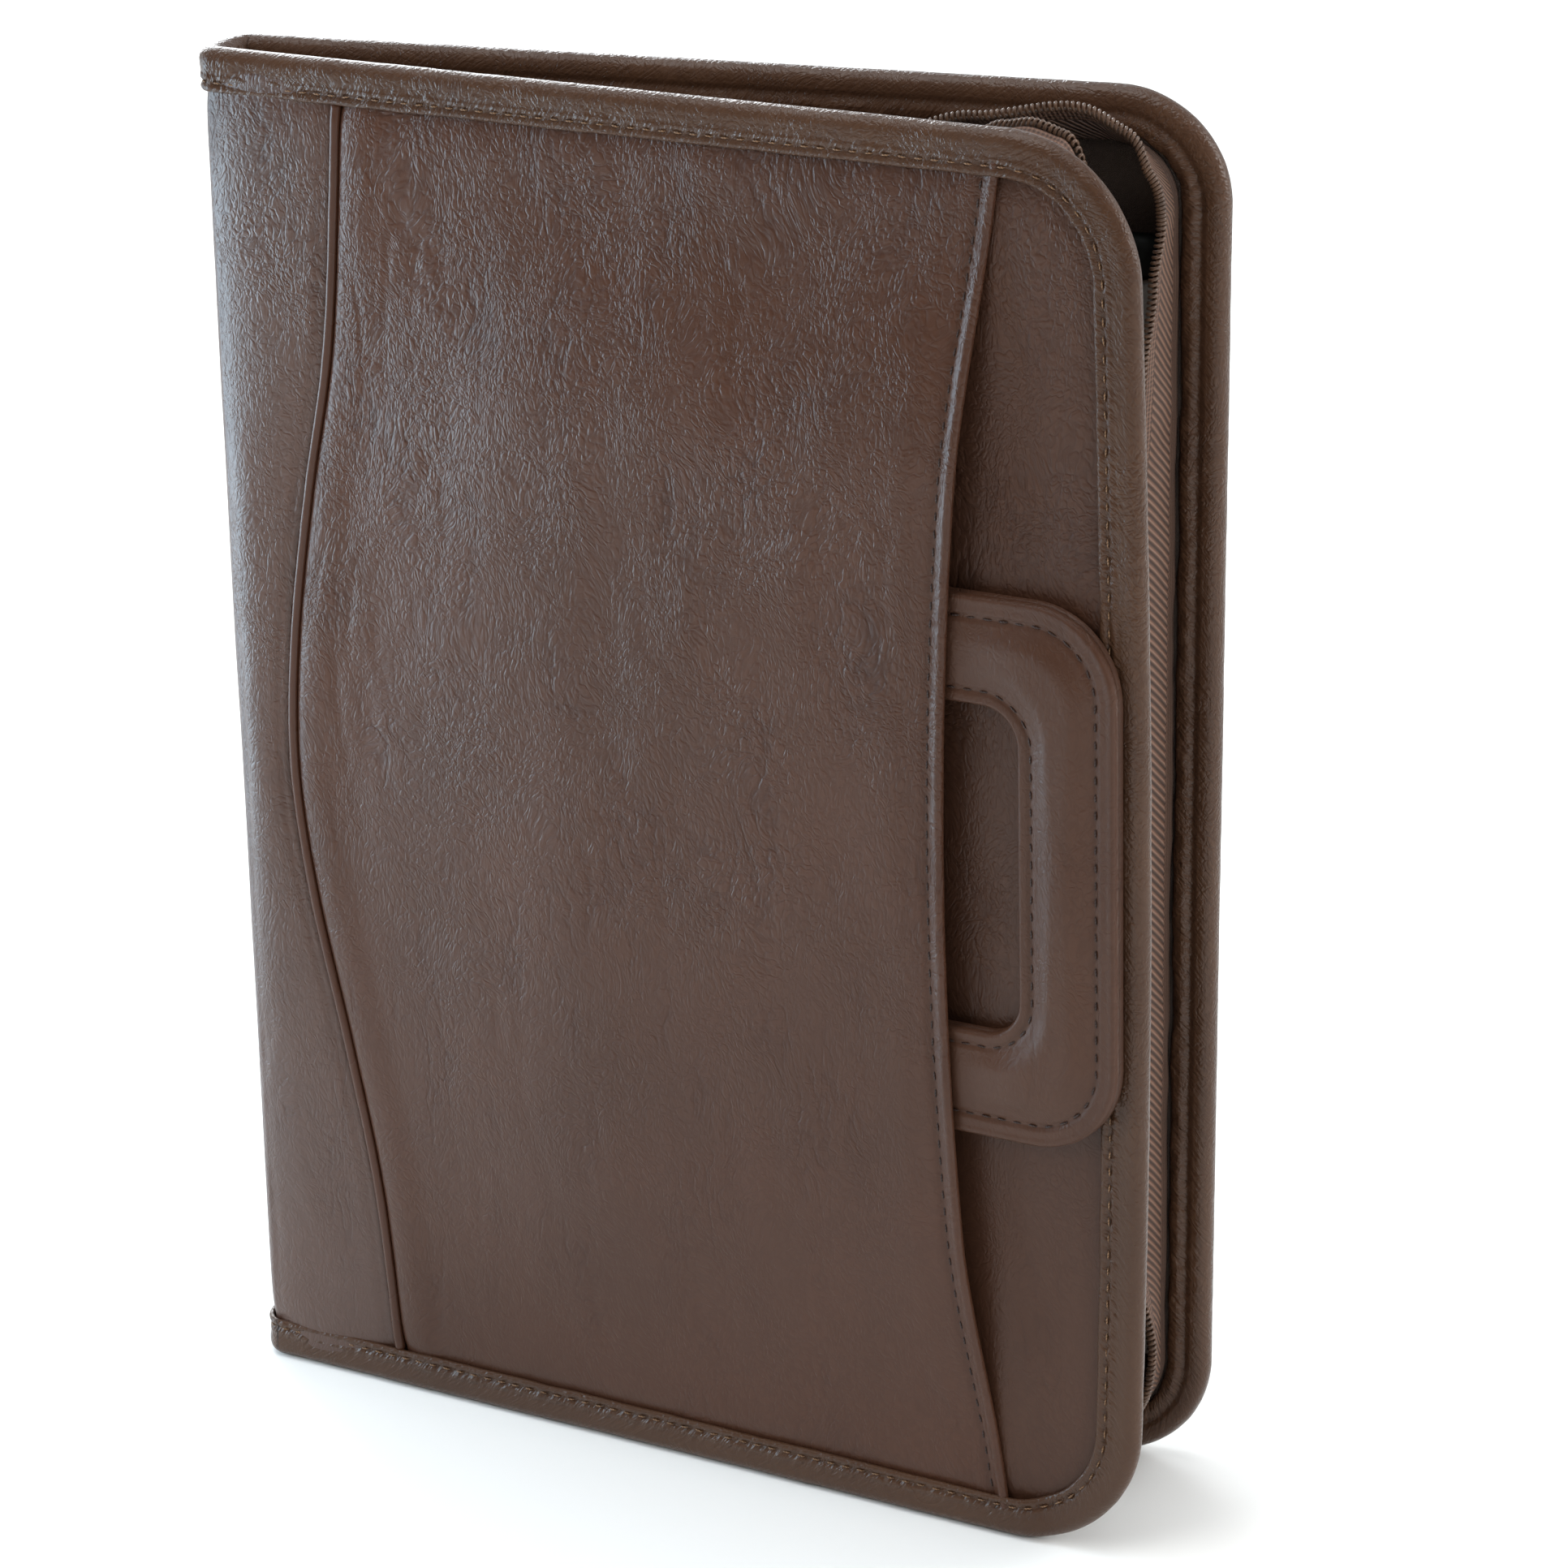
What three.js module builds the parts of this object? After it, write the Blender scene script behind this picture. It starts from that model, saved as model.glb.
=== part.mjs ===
// A zip portfolio standing on its bottom edge, slightly open, with a flat handle in a front pocket.
// Millimetres, +Z up. The front cover faces -Y, the spine is at -X and the fore edge at +X.
//
// A place on the case is given by three lengths: s, along a cover from where the spine's curve ends;
// z, the height; and d, the distance outward from the spine leather's outer face.

import * as THREE from "three";

// The case
const coverHeight = 343;
const frontWidth = 248.8;
const frontOverhang = 2.8;
const backWidth = frontWidth - frontOverhang;
const cornerRadius = 33;
const foreBow = 3.3;
const backLean = 4.4;
const openingAngle = THREE.MathUtils.degToRad(9.5);
const spineRadius = 10.8;
const spineDepth = 5.6;

// Thicknesses and running gaps
const clearance = 0.3;
const shellWall = 3;
const frontPanelWall = 1.8;
const leather = 1;
const liningWall = 1;

// The binding: a corded roll at the very edge, and a flat flange on each face
const rollWidth = 6.4;
const rollCrown = 0.25;
const flangeEdge = 10.4;
const channelDepth = 4.2;

// The curved seam and its bead
const beadRadius = 1.25;

// The pocket's mouth
const mouthInset = 46.8;
const mouthSweep = 15.2;
const mouthSweepPower = 2;
const hemWidth = 3.2;
const hemThickness = 2;
const pocketSlope = 64;

// The handle
const handleHeight = 132;
const handleDepth = 137;
const handleCentreDrop = 1;
const handleShoulder = 4.8;
const handleCornerRadius = 22;
const handleInnerRadius = 8;
const gripWidth = 25.6;
const legWidth = 26.2;
const innerBarWidth = 28;
const slotRadius = 9;
const handleBackWall = 1.7;
const handleFaceWall = 2.6;
const handleRise = 0.5;
const handleEdgeBevel = 0.6;

// The zip
const tapeWidth = 18.5;
const tapeThickness = 0.9;
const tapeKnee = 4.5;
const coilRadius = 1.35;
const coilGap = 0.5;
const zipStart = 24;
const sliderLength = 11;
const sliderHeight = 8;
const sliderMargin = 1.6;
const sliderCorner = 2;
const sliderBevel = 0.6;

// The writing pad, and the margins left round it in the back cover
const marginAbovePad = 33.8;
const marginBelowPad = 29.8;
const marginAtSpine = 16;
const marginAtFore = 14;
const padWidth = backWidth - marginAtSpine - marginAtFore;
const padHeight = coverHeight - marginAbovePad - marginBelowPad;
const padThickness = 4.5;
const padHeaderHeight = 9.8;
const padHeaderWrap = 0.3;

// Heights of the layers, measured as d
const panelFace = frontPanelWall - shellWall;
const pocketFace = panelFace + clearance + leather;
const liningOuter = -shellWall - clearance;
const liningInner = liningOuter - liningWall;
const flangeInner = liningInner - clearance - leather;
const handleFloor = panelFace + clearance + leather + handleRise;
const handleTop = handleFloor + handleBackWall + clearance + handleFaceWall;
const pocketBulge = handleTop + clearance + leather + 0.1 - pocketFace;

// Places on the front cover
const edgeInset = channelDepth + clearance;
const openEdge = flangeEdge + clearance;
const handleMiddle = coverHeight / 2 - handleCentreDrop;
const handleFore = frontWidth + foreBow - handleShoulder;
const handleRear = handleFore - handleDepth;
const arcLength = spineRadius * (Math.PI - openingAngle);

// The S-shaped seam: height as a share of the cover's height, distance from the spine as one of its width.
const seamRows = [
  { height: 1.0, across: 0.149 },
  { height: 0.9, across: 0.139 },
  { height: 0.79, across: 0.123 },
  { height: 0.69, across: 0.093 },
  { height: 0.58, across: 0.067 },
  { height: 0.48, across: 0.058 },
  { height: 0.385, across: 0.073 },
  { height: 0.27, across: 0.107 },
  { height: 0.15, across: 0.138 },
  { height: 0.0, across: 0.156 },
];

// How each zip tape stands from its cover, from the top of the spine round to its bottom: the share of the
// way, the lean towards the outer edge in degrees, and how much of the tape's width stands clear.
const frontTapeRows = [
  { share: 0, lean: 30, stands: 0.5 },
  { share: 0.03, lean: 12, stands: 0.45 },
  { share: 0.05, lean: -16, stands: 0.5 },
  { share: 0.08, lean: -54, stands: 0.8 },
  { share: 0.12, lean: -42, stands: 1 },
  { share: 0.16, lean: -12, stands: 0.84 },
  { share: 0.2, lean: 0, stands: 0.95 },
  { share: 0.222, lean: 8, stands: 1 },
  { share: 0.235, lean: 20, stands: 1 },
  { share: 0.245, lean: 24, stands: 1 },
  { share: 0.256, lean: 18, stands: 1 },
  { share: 0.27, lean: -4, stands: 1 },
  { share: 0.29, lean: -20, stands: 1 },
  { share: 0.33, lean: -22, stands: 1 },
  { share: 0.37, lean: -16, stands: 1 },
  { share: 0.5, lean: -8, stands: 1 },
  { share: 0.64, lean: -12, stands: 1 },
  { share: 0.78, lean: -18, stands: 1 },
  { share: 0.87, lean: -44, stands: 1 },
  { share: 0.94, lean: -60, stands: 0.95 },
  { share: 1, lean: -66, stands: 0.74 },
];
const backTapeRows = [
  { share: 0, lean: 30, stands: 0.5 },
  { share: 0.03, lean: 10, stands: 0.45 },
  { share: 0.05, lean: -40, stands: 0.5 },
  { share: 0.08, lean: -54, stands: 0.8 },
  { share: 0.12, lean: -40, stands: 1 },
  { share: 0.155, lean: -12, stands: 0.8 },
  { share: 0.19, lean: 10, stands: 0.92 },
  { share: 0.243, lean: 21, stands: 1 },
  { share: 0.262, lean: 21, stands: 1 },
  { share: 0.288, lean: 19, stands: 1 },
  { share: 0.33, lean: 7, stands: 1 },
  { share: 0.36, lean: -8, stands: 1 },
  { share: 0.5, lean: -14, stands: 1 },
  { share: 0.64, lean: -3, stands: 1 },
  { share: 0.675, lean: 16, stands: 1 },
  { share: 0.71, lean: 2, stands: 1 },
  { share: 0.78, lean: -12, stands: 1 },
  { share: 0.87, lean: -44, stands: 1 },
  { share: 0.94, lean: -60, stands: 0.95 },
  { share: 1, lean: -66, stands: 0.74 },
];

const finishes = {
  leather: { color: 0x5c4539, roughness: 0.48, metalness: 0 },
  piping: { color: 0x6a4b3a, roughness: 0.42, metalness: 0 },
  lining: { color: 0x211a17, roughness: 0.9, metalness: 0 },
  tape: { color: 0x51403a, roughness: 0.85, metalness: 0 },
  coil: { color: 0x6b5144, roughness: 0.4, metalness: 0 },
  slider: { color: 0x7a6a5c, roughness: 0.35, metalness: 0.8 },
  paper: { color: 0xb9b6ae, roughness: 0.9, metalness: 0 },
  header: { color: 0x14201f, roughness: 0.7, metalness: 0 },
};

// Places in space

function onFront(s, z, d) {
  const bow = foreBow * Math.sin((Math.PI * z) / coverHeight) * (s / frontWidth) ** 4;
  return new THREE.Vector3(s + bow, -spineRadius - d, z);
}

function onBack(s, z, d) {
  const sine = Math.sin(openingAngle);
  const cosine = Math.cos(openingAngle);
  const reach = spineRadius + d;
  const lean = backLean * (z / coverHeight - 0.5) * (s / backWidth) ** 4;
  const along = s + lean;
  return new THREE.Vector3(along * cosine - reach * sine, along * sine + reach * cosine, z);
}

// The spine is a half round, pressed towards the straight line between its two ends.
function onSpine(run, z, d) {
  const angle = -Math.PI / 2 - run / spineRadius;
  const reach = spineRadius + d;
  const half = openingAngle / 2;
  const place = new THREE.Vector2(Math.cos(angle), Math.sin(angle)).multiplyScalar(reach);
  const outward = new THREE.Vector2(-Math.cos(half), -Math.sin(half));
  const height = place.dot(outward) - reach * Math.sin(half);
  const pressed = (height * (spineDepth + d)) / reach;
  place.addScaledVector(outward, pressed - height);
  return new THREE.Vector3(place.x, place.y, z);
}

// The whole wall as one run: negative on the front cover, then round the spine's half round, then along
// the back cover.
function onCase(run, z, d) {
  if (run <= 0) return onFront(-run, z, d);
  if (run < arcLength) return onSpine(run, z, d);
  return onBack(run - arcLength, z, d);
}

const covers = {
  front: { width: frontWidth, place: onFront, tapeRows: frontTapeRows },
  back: { width: backWidth, place: onBack, tapeRows: backTapeRows },
};

// Small helpers

function spread(from, to, count) {
  return Array.from({ length: count + 1 }, (_, i) => from + ((to - from) * i) / count);
}

function eased(share) {
  const t = THREE.MathUtils.clamp(share, 0, 1);
  return t * t * (3 - 2 * t);
}

// A value from a table of rows, eased between the two rows that its key lies between.
function fromTable(table, keyName, key, valueName) {
  const after = table.findIndex((row) => row[keyName] >= key);
  if (after <= 0) return table[Math.max(after, 0)][valueName];
  const low = table[after - 1];
  const high = table[after];
  const t = eased((key - low[keyName]) / (high[keyName] - low[keyName]));
  return low[valueName] + (high[valueName] - low[valueName]) * t;
}

const seamCurve = new THREE.SplineCurve(
  seamRows.map((row) => new THREE.Vector2(row.across * frontWidth, row.height * coverHeight)).reverse(),
);

function seamAt(z) {
  let low = 0;
  let high = 1;
  for (let step = 0; step < 24; step += 1) {
    const middle = (low + high) / 2;
    if (seamCurve.getPoint(middle).y < z) low = middle;
    else high = middle;
  }
  return seamCurve.getPoint(low).x;
}

function mouthAt(z) {
  const half = coverHeight / 2;
  const share = Math.abs(z - handleMiddle) / half;
  return frontWidth - mouthInset + mouthSweep * share ** mouthSweepPower;
}

// The end of a cover's column at distance s from the spine, at an inset from the outline.
function columnTop(width, s, inset) {
  const past = s - (width - cornerRadius);
  if (past <= 0) return coverHeight - inset;
  const radius = cornerRadius - inset;
  return coverHeight - cornerRadius + Math.sqrt(Math.max(radius * radius - past * past, 0));
}

function cornerColumns(width, inset, count) {
  const radius = cornerRadius - inset;
  return spread(0, Math.PI / 2, count).map((angle) => width - cornerRadius + radius * Math.sin(angle));
}

// Closed bodies

function bodyFrom(points, triangles) {
  const geometry = new THREE.BufferGeometry().setFromPoints(points);
  let volume = 0;
  for (const [a, b, c] of triangles)
    volume += points[a].dot(new THREE.Vector3().crossVectors(points[b], points[c]));
  const facing = volume < 0 ? triangles.map(([a, b, c]) => [a, c, b]) : triangles;
  geometry.setIndex(facing.flat());
  geometry.computeVertexNormals();
  return geometry;
}

// A wall between two grids of points, given column by column.
function wallBetween(outer, inner) {
  const columns = outer.length;
  const levels = outer[0].length;
  const points = [...outer.flat(), ...inner.flat()];
  const triangles = [];
  const at = (layer, i, j) => layer * columns * levels + i * levels + j;
  const quad = (a, b, c, d) => triangles.push([a, b, c], [a, c, d]);
  const lastColumn = columns - 1;
  const lastRow = levels - 1;
  for (let i = 0; i < lastColumn; i += 1) {
    for (let j = 0; j < lastRow; j += 1) {
      quad(at(0, i, j), at(0, i, j + 1), at(0, i + 1, j + 1), at(0, i + 1, j));
      quad(at(1, i, j), at(1, i + 1, j), at(1, i + 1, j + 1), at(1, i, j + 1));
    }
    quad(at(0, i, 0), at(0, i + 1, 0), at(1, i + 1, 0), at(1, i, 0));
    quad(at(0, i + 1, lastRow), at(0, i, lastRow), at(1, i, lastRow), at(1, i + 1, lastRow));
  }
  for (let j = 0; j < lastRow; j += 1) {
    quad(at(0, 0, j + 1), at(0, 0, j), at(1, 0, j), at(1, 0, j + 1));
    quad(at(0, lastColumn, j), at(0, lastColumn, j + 1), at(1, lastColumn, j + 1), at(1, lastColumn, j));
  }
  return bodyFrom(points, triangles);
}

// Triangles that fill a flat profile, all wound the way the profile is.
function profileFill(profile) {
  const turn = Math.sign(THREE.ShapeUtils.area(profile));
  return THREE.ShapeUtils.triangulateShape(profile, []).map(([a, b, c]) => {
    const area = THREE.ShapeUtils.area([profile[a], profile[b], profile[c]]);
    return Math.sign(area) === turn ? [a, b, c] : [a, c, b];
  });
}

// A body lofted through rings of points. The flat profile says how its two ends are filled.
function loftThrough(rings, profile) {
  const sides = rings[0].length;
  const triangles = [];
  const at = (ring, side) => ring * sides + (side % sides);
  for (let ring = 0; ring < rings.length - 1; ring += 1) {
    for (let side = 0; side < sides; side += 1) {
      triangles.push([at(ring, side), at(ring, side + 1), at(ring + 1, side + 1)]);
      triangles.push([at(ring, side), at(ring + 1, side + 1), at(ring + 1, side)]);
    }
  }
  for (const [a, b, c] of profileFill(profile)) {
    triangles.push([at(0, a), at(0, c), at(0, b)]);
    triangles.push([at(rings.length - 1, a), at(rings.length - 1, b), at(rings.length - 1, c)]);
  }
  return bodyFrom(rings.flat(), triangles);
}

function roundProfile(radius, sides) {
  return spread(0, 2 * Math.PI, sides)
    .slice(0, -1)
    .map((angle) => new THREE.Vector2(radius * Math.cos(angle), radius * Math.sin(angle)));
}

// The walls

// The walls and beads that meet along the seam and the mouth share their rows, so that their facets agree.
const rows = spread(edgeInset, coverHeight - edgeInset, 16);

// The same rows, squeezed into a column that ends at a rounded corner.
function rowsOfColumn(width, s, levels) {
  const top = columnTop(width, s, edgeInset);
  const squeeze = (2 * top - coverHeight) / (coverHeight - 2 * edgeInset);
  return levels.map((z) => coverHeight / 2 + (z - coverHeight / 2) * squeeze);
}

function caseShellGeometry() {
  const seamEdge = beadRadius + clearance;
  const strip = [1, 0.62, 0.3];
  const spine = spread(0, arcLength, 10).map((run) => ({ run, s: 0 }));
  const back = cornerColumns(backWidth, edgeInset, 6).map((s) => ({ run: arcLength + s, s }));
  const grid = (d) => [
    ...strip.map((share) => rows.map((z) => onCase(-share * (seamAt(z) - seamEdge), z, d))),
    ...[...spine, ...back].map(({ run, s }) => rowsOfColumn(backWidth, s, rows).map((z) => onCase(run, z, d))),
  ];
  return wallBetween(grid(0), grid(-shellWall));
}

function frontPanelGeometry() {
  const corner = cornerColumns(frontWidth, edgeInset, 6);
  const grid = (d) => [
    rows.map((z) => onFront(seamAt(z) - beadRadius, z, d)),
    rows.map((z) => onFront(frontWidth / 2, z, d)),
    ...corner.map((s) => rowsOfColumn(frontWidth, s, rows).map((z) => onFront(s, z, d))),
  ];
  return wallBetween(grid(-shellWall), grid(panelFace));
}

function liningGeometry() {
  const levels = rows.filter((z, i) => i % 4 === 0);
  const front = cornerColumns(frontWidth, edgeInset, 6).reverse();
  const back = cornerColumns(backWidth, edgeInset, 6);
  const columns = [
    ...front.map((s) => ({ run: -s, width: frontWidth, s })),
    ...spread(0, arcLength, 10).map((run) => ({ run, width: backWidth, s: 0 })),
    ...back.map((s) => ({ run: arcLength + s, width: backWidth, s })),
  ];
  const grid = (d) =>
    columns.map(({ run, width, s }) => rowsOfColumn(width, s, levels).map((z) => onCase(run, z, d)));
  return wallBetween(grid(liningOuter), grid(liningInner));
}

// How far the pocket's leather stands off, to leave room for the handle and for papers.
function pocketRise(s, z) {
  const seam = seamAt(z) + beadRadius + clearance;
  const across = eased((s - seam) / (handleRear - clearance - seam));
  const halfFlat = handleHeight / 2 + 24;
  const fall = Math.min(handleMiddle, coverHeight - handleMiddle) - openEdge - halfFlat;
  const along = 1 - eased((Math.abs(z - handleMiddle) - halfFlat) / Math.min(fall, pocketSlope));
  return pocketBulge * across * along;
}

function frontPocketGeometry() {
  const acrosses = [0, 0.06, 0.13, 0.2, 0.28, 0.36, 0.45, 0.55, 0.7, 0.85, 1];
  const grid = (d) =>
    acrosses.map((across) =>
      rows.map((z) => {
        const seam = seamAt(z) + beadRadius + clearance;
        const s = seam + across * (mouthAt(z) - hemWidth - clearance - seam);
        return onFront(s, z, d + pocketRise(s, z));
      }),
    );
  return wallBetween(grid(pocketFace), grid(pocketFace - leather));
}

// Beads and hems run between the top and bottom flanges.
function beadAlong(centreAt, profile) {
  const between = rows.slice(1, -1);
  const rings = [openEdge, ...between, coverHeight - openEdge].map((z) =>
    profile.map((point) => {
      const centre = centreAt(z);
      return onFront(centre.s + point.x, z, centre.d + point.y);
    }),
  );
  return loftThrough(rings, profile);
}

function seamPipingGeometry() {
  const d = panelFace + clearance + beadRadius;
  return beadAlong((z) => ({ s: seamAt(z), d }), roundProfile(beadRadius, 8));
}

function pocketHemGeometry() {
  const profile = roundProfile(1, 8).map(
    (point) => new THREE.Vector2((point.x * hemWidth) / 2, (point.y * hemThickness) / 2),
  );
  const floor = pocketFace - leather + hemThickness / 2;
  return beadAlong((z) => {
    const s = mouthAt(z) - hemWidth / 2;
    return { s, d: floor + pocketRise(s, z) };
  }, profile);
}

// The binding

// The outline of a cover from the top of the spine round to its bottom, with the direction out of it.
function edgeStations(width, start, counts) {
  const endOfTop = width - cornerRadius;
  const highCentre = coverHeight - cornerRadius;
  const corner = (centreZ, from, to) =>
    spread(from, to, counts.corner).map((angle) => ({
      s: endOfTop + cornerRadius * Math.cos(angle),
      z: centreZ + cornerRadius * Math.sin(angle),
      outS: Math.cos(angle),
      outZ: Math.sin(angle),
    }));
  const stations = [
    ...spread(start, endOfTop, counts.top).map((s) => ({ s, z: coverHeight, outS: 0, outZ: 1 })),
    ...corner(highCentre, Math.PI / 2, 0).slice(1),
    ...spread(highCentre, cornerRadius, counts.fore)
      .slice(1)
      .map((z) => ({ s: width, z, outS: 1, outZ: 0 })),
    ...corner(cornerRadius, 0, -Math.PI / 2).slice(1),
    ...spread(endOfTop, start, counts.top)
      .slice(1)
      .map((s) => ({ s, z: 0, outS: 0, outZ: -1 })),
  ];
  let length = 0;
  stations.forEach((station, i) => {
    if (i > 0) length += Math.hypot(station.s - stations[i - 1].s, station.z - stations[i - 1].z);
    station.way = length;
  });
  return stations.map((station) => ({ ...station, share: station.way / length }));
}

// The binding's profile, x inward from the outline and y outward, for a given height of the leather it grips.
function bindingProfile(gripped) {
  const outside = gripped + clearance + leather;
  const middle = (outside + flangeInner) / 2;
  const half = (outside - flangeInner) / 2 + rollCrown;
  const flat = THREE.MathUtils.degToRad(18);
  const width = rollWidth / 2;
  const rollAngles = [112, 90, 54, 18, -18, -54, -90, -112].map(THREE.MathUtils.degToRad);
  const roll = rollAngles.map(
    (angle) =>
      new THREE.Vector2(width - (width * Math.cos(angle)) / Math.cos(flat), middle + half * Math.sin(angle)),
  );
  return [
    new THREE.Vector2(flangeEdge, outside),
    new THREE.Vector2(rollWidth, outside),
    ...roll,
    new THREE.Vector2(rollWidth, flangeInner),
    new THREE.Vector2(flangeEdge, flangeInner),
    new THREE.Vector2(flangeEdge, flangeInner + leather),
    new THREE.Vector2(channelDepth, flangeInner + leather),
    new THREE.Vector2(channelDepth, outside - leather),
    new THREE.Vector2(flangeEdge, outside - leather),
  ];
}

// What the front flange lies on: the pocket near the spine, and the lower panel past the pocket's mouth.
function grippedOnFront(station) {
  const reach = station.s - station.outS * flangeEdge;
  const pastMouth = eased((reach - mouthAt(station.z) - 1) / 8);
  return pocketFace + (panelFace - pocketFace) * pastMouth;
}

function coverBindingGeometry(cover, grippedAt) {
  const stations = edgeStations(cover.width, clearance, { top: 6, corner: 7, fore: 6 });
  const rings = stations.map((station) =>
    bindingProfile(grippedAt(station)).map(({ x, y }) =>
      cover.place(station.s - x * station.outS, station.z - x * station.outZ, y),
    ),
  );
  return loftThrough(rings, bindingProfile(0));
}

function spineBindingGeometry(heightAt) {
  const profile = bindingProfile(0);
  const rings = spread(0, arcLength, 12).map((run) => profile.map(({ x, y }) => onSpine(run, heightAt(x), y)));
  return loftThrough(rings, profile);
}

// The zip

// The d that a coil may reach towards the plane half-way between the covers, at distance s from the spine.
function deepestCoil(s) {
  const half = openingAngle / 2;
  return (clearance + coilRadius - s * Math.sin(half)) / Math.cos(half) - spineRadius;
}

// One cut through a zip tape: where it is sewn, where it bends, its free edge and its coil.
function tapeCut(cover, station) {
  const lean = THREE.MathUtils.degToRad(fromTable(cover.tapeRows, "share", station.share, "lean"));
  const stands = tapeWidth * fromTable(cover.tapeRows, "share", station.share, "stands");
  const beyond = coilGap + coilRadius;
  const sewn = new THREE.Vector2(openEdge + tapeThickness, liningInner - clearance - tapeThickness / 2);
  const bend = new THREE.Vector2(sewn.x, sewn.y - Math.min(tapeKnee, stands / 3));
  const towards = new THREE.Vector2(-Math.sin(lean), -Math.cos(lean));
  const coil = sewn.clone().addScaledVector(towards, stands + beyond);
  coil.y = Math.max(coil.y, deepestCoil(station.s - coil.x * station.outS));
  const edge = coil.clone().addScaledVector(coil.clone().sub(bend).normalize(), -beyond);
  return { sewn, bend, edge, coil };
}

const tapeCounts = { top: 17, corner: 7, fore: 8 };

function zipTapeGeometry(cover) {
  const half = tapeThickness / 2;
  let profile;
  const rings = edgeStations(cover.width, zipStart, tapeCounts).map((station) => {
    const { sewn, bend, edge } = tapeCut(cover, station);
    const run = edge.clone().sub(bend).normalize();
    const beside = new THREE.Vector2(-run.y, run.x);
    const straight = new THREE.Vector2(1, 0);
    const middle = straight.clone().add(beside).normalize();
    profile = [
      sewn.clone().addScaledVector(straight, half),
      bend.clone().addScaledVector(middle, half),
      edge.clone().addScaledVector(beside, half),
      edge.clone().addScaledVector(beside, -half),
      bend.clone().addScaledVector(middle, -half),
      sewn.clone().addScaledVector(straight, -half),
    ];
    return profile.map(({ x, y }) =>
      cover.place(station.s - x * station.outS, station.z - x * station.outZ, y),
    );
  });
  return loftThrough(rings, profile);
}

function zipCoilGeometry(cover) {
  const profile = roundProfile(coilRadius, 6);
  const rings = edgeStations(cover.width, zipStart, tapeCounts).map((station) => {
    const { coil } = tapeCut(cover, station);
    return profile.map((point) => {
      const inset = coil.x + point.x;
      return cover.place(station.s - inset * station.outS, station.z - inset * station.outZ, coil.y + point.y);
    });
  });
  return loftThrough(rings, profile);
}

function coilEnd(cover) {
  const station = edgeStations(cover.width, zipStart, tapeCounts).at(-1);
  const { coil } = tapeCut(cover, station);
  return cover.place(station.s, station.z + coil.x, coil.y);
}

// Plates

// A rounded rectangle whose two fore corners and two rear corners may differ.
function roundedRectangle(path, low, high, foreRadius, rearRadius) {
  path.moveTo(low.x + rearRadius, low.y);
  path.lineTo(high.x - foreRadius, low.y);
  path.absarc(high.x - foreRadius, low.y + foreRadius, foreRadius, -Math.PI / 2, 0, false);
  path.lineTo(high.x, high.y - foreRadius);
  path.absarc(high.x - foreRadius, high.y - foreRadius, foreRadius, 0, Math.PI / 2, false);
  path.lineTo(low.x + rearRadius, high.y);
  path.absarc(low.x + rearRadius, high.y - rearRadius, rearRadius, Math.PI / 2, Math.PI, false);
  path.lineTo(low.x, low.y + rearRadius);
  path.absarc(low.x + rearRadius, low.y + rearRadius, rearRadius, Math.PI, (3 * Math.PI) / 2, false);
  return path;
}

function plateGeometry(shape, thickness, bevel) {
  return new THREE.ExtrudeGeometry(shape, {
    depth: thickness - 2 * bevel,
    bevelThickness: bevel,
    bevelSize: bevel,
    bevelOffset: -bevel,
    bevelSegments: 1,
    curveSegments: 5,
  }).translate(0, 0, bevel);
}

function handleGeometry(thickness) {
  const halfHeight = handleHeight / 2;
  const slotHalf = halfHeight - legWidth;
  const outline = roundedRectangle(
    new THREE.Shape(),
    new THREE.Vector2(0, -halfHeight),
    new THREE.Vector2(handleDepth, halfHeight),
    handleCornerRadius,
    handleInnerRadius,
  );
  const slot = roundedRectangle(
    new THREE.Path(),
    new THREE.Vector2(innerBarWidth, -slotHalf),
    new THREE.Vector2(handleDepth - gripWidth, slotHalf),
    slotRadius,
    slotRadius,
  );
  outline.holes.push(slot);
  return plateGeometry(outline, thickness, handleEdgeBevel);
}

// Meshes

function piece(name, geometry, finish) {
  const mesh = new THREE.Mesh(geometry, new THREE.MeshStandardMaterial(finishes[finish]));
  mesh.name = name;
  return mesh;
}

function caseGroup() {
  const group = new THREE.Group();
  group.add(
    piece("case_shell", caseShellGeometry(), "leather"),
    piece("front_panel", frontPanelGeometry(), "leather"),
    piece("front_pocket", frontPocketGeometry(), "leather"),
    piece("seam_piping", seamPipingGeometry(), "piping"),
    piece("pocket_hem", pocketHemGeometry(), "piping"),
    piece("lining", liningGeometry(), "lining"),
    piece("binding_front", coverBindingGeometry(covers.front, grippedOnFront), "leather"),
    piece("binding_back", coverBindingGeometry(covers.back, () => 0), "leather"),
    piece("binding_spine_top", spineBindingGeometry((inset) => coverHeight - inset), "leather"),
    piece("binding_spine_bottom", spineBindingGeometry((inset) => inset), "leather"),
  );
  return group;
}

function zipGroup() {
  const group = new THREE.Group();
  for (const [side, cover] of Object.entries(covers)) {
    group.add(piece(`zip_tape_${side}`, zipTapeGeometry(cover), "tape"));
    group.add(piece(`zip_coil_${side}`, zipCoilGeometry(cover), "coil"));
  }
  const frontEnd = coilEnd(covers.front);
  const backEnd = coilEnd(covers.back);
  const halfWidth = frontEnd.distanceTo(backEnd) / 2 + coilRadius + sliderMargin;
  const outline = roundedRectangle(
    new THREE.Shape(),
    new THREE.Vector2(-sliderLength, -halfWidth),
    new THREE.Vector2(0, halfWidth),
    sliderCorner,
    sliderCorner,
  );
  const slider = piece("zip_slider", plateGeometry(outline, sliderHeight, sliderBevel), "slider");
  slider.position.copy(frontEnd).add(backEnd).multiplyScalar(0.5);
  slider.position.x = Math.min(frontEnd.x, backEnd.x) - clearance;
  slider.position.z -= sliderHeight / 2;
  group.add(slider);
  return group;
}

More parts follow.
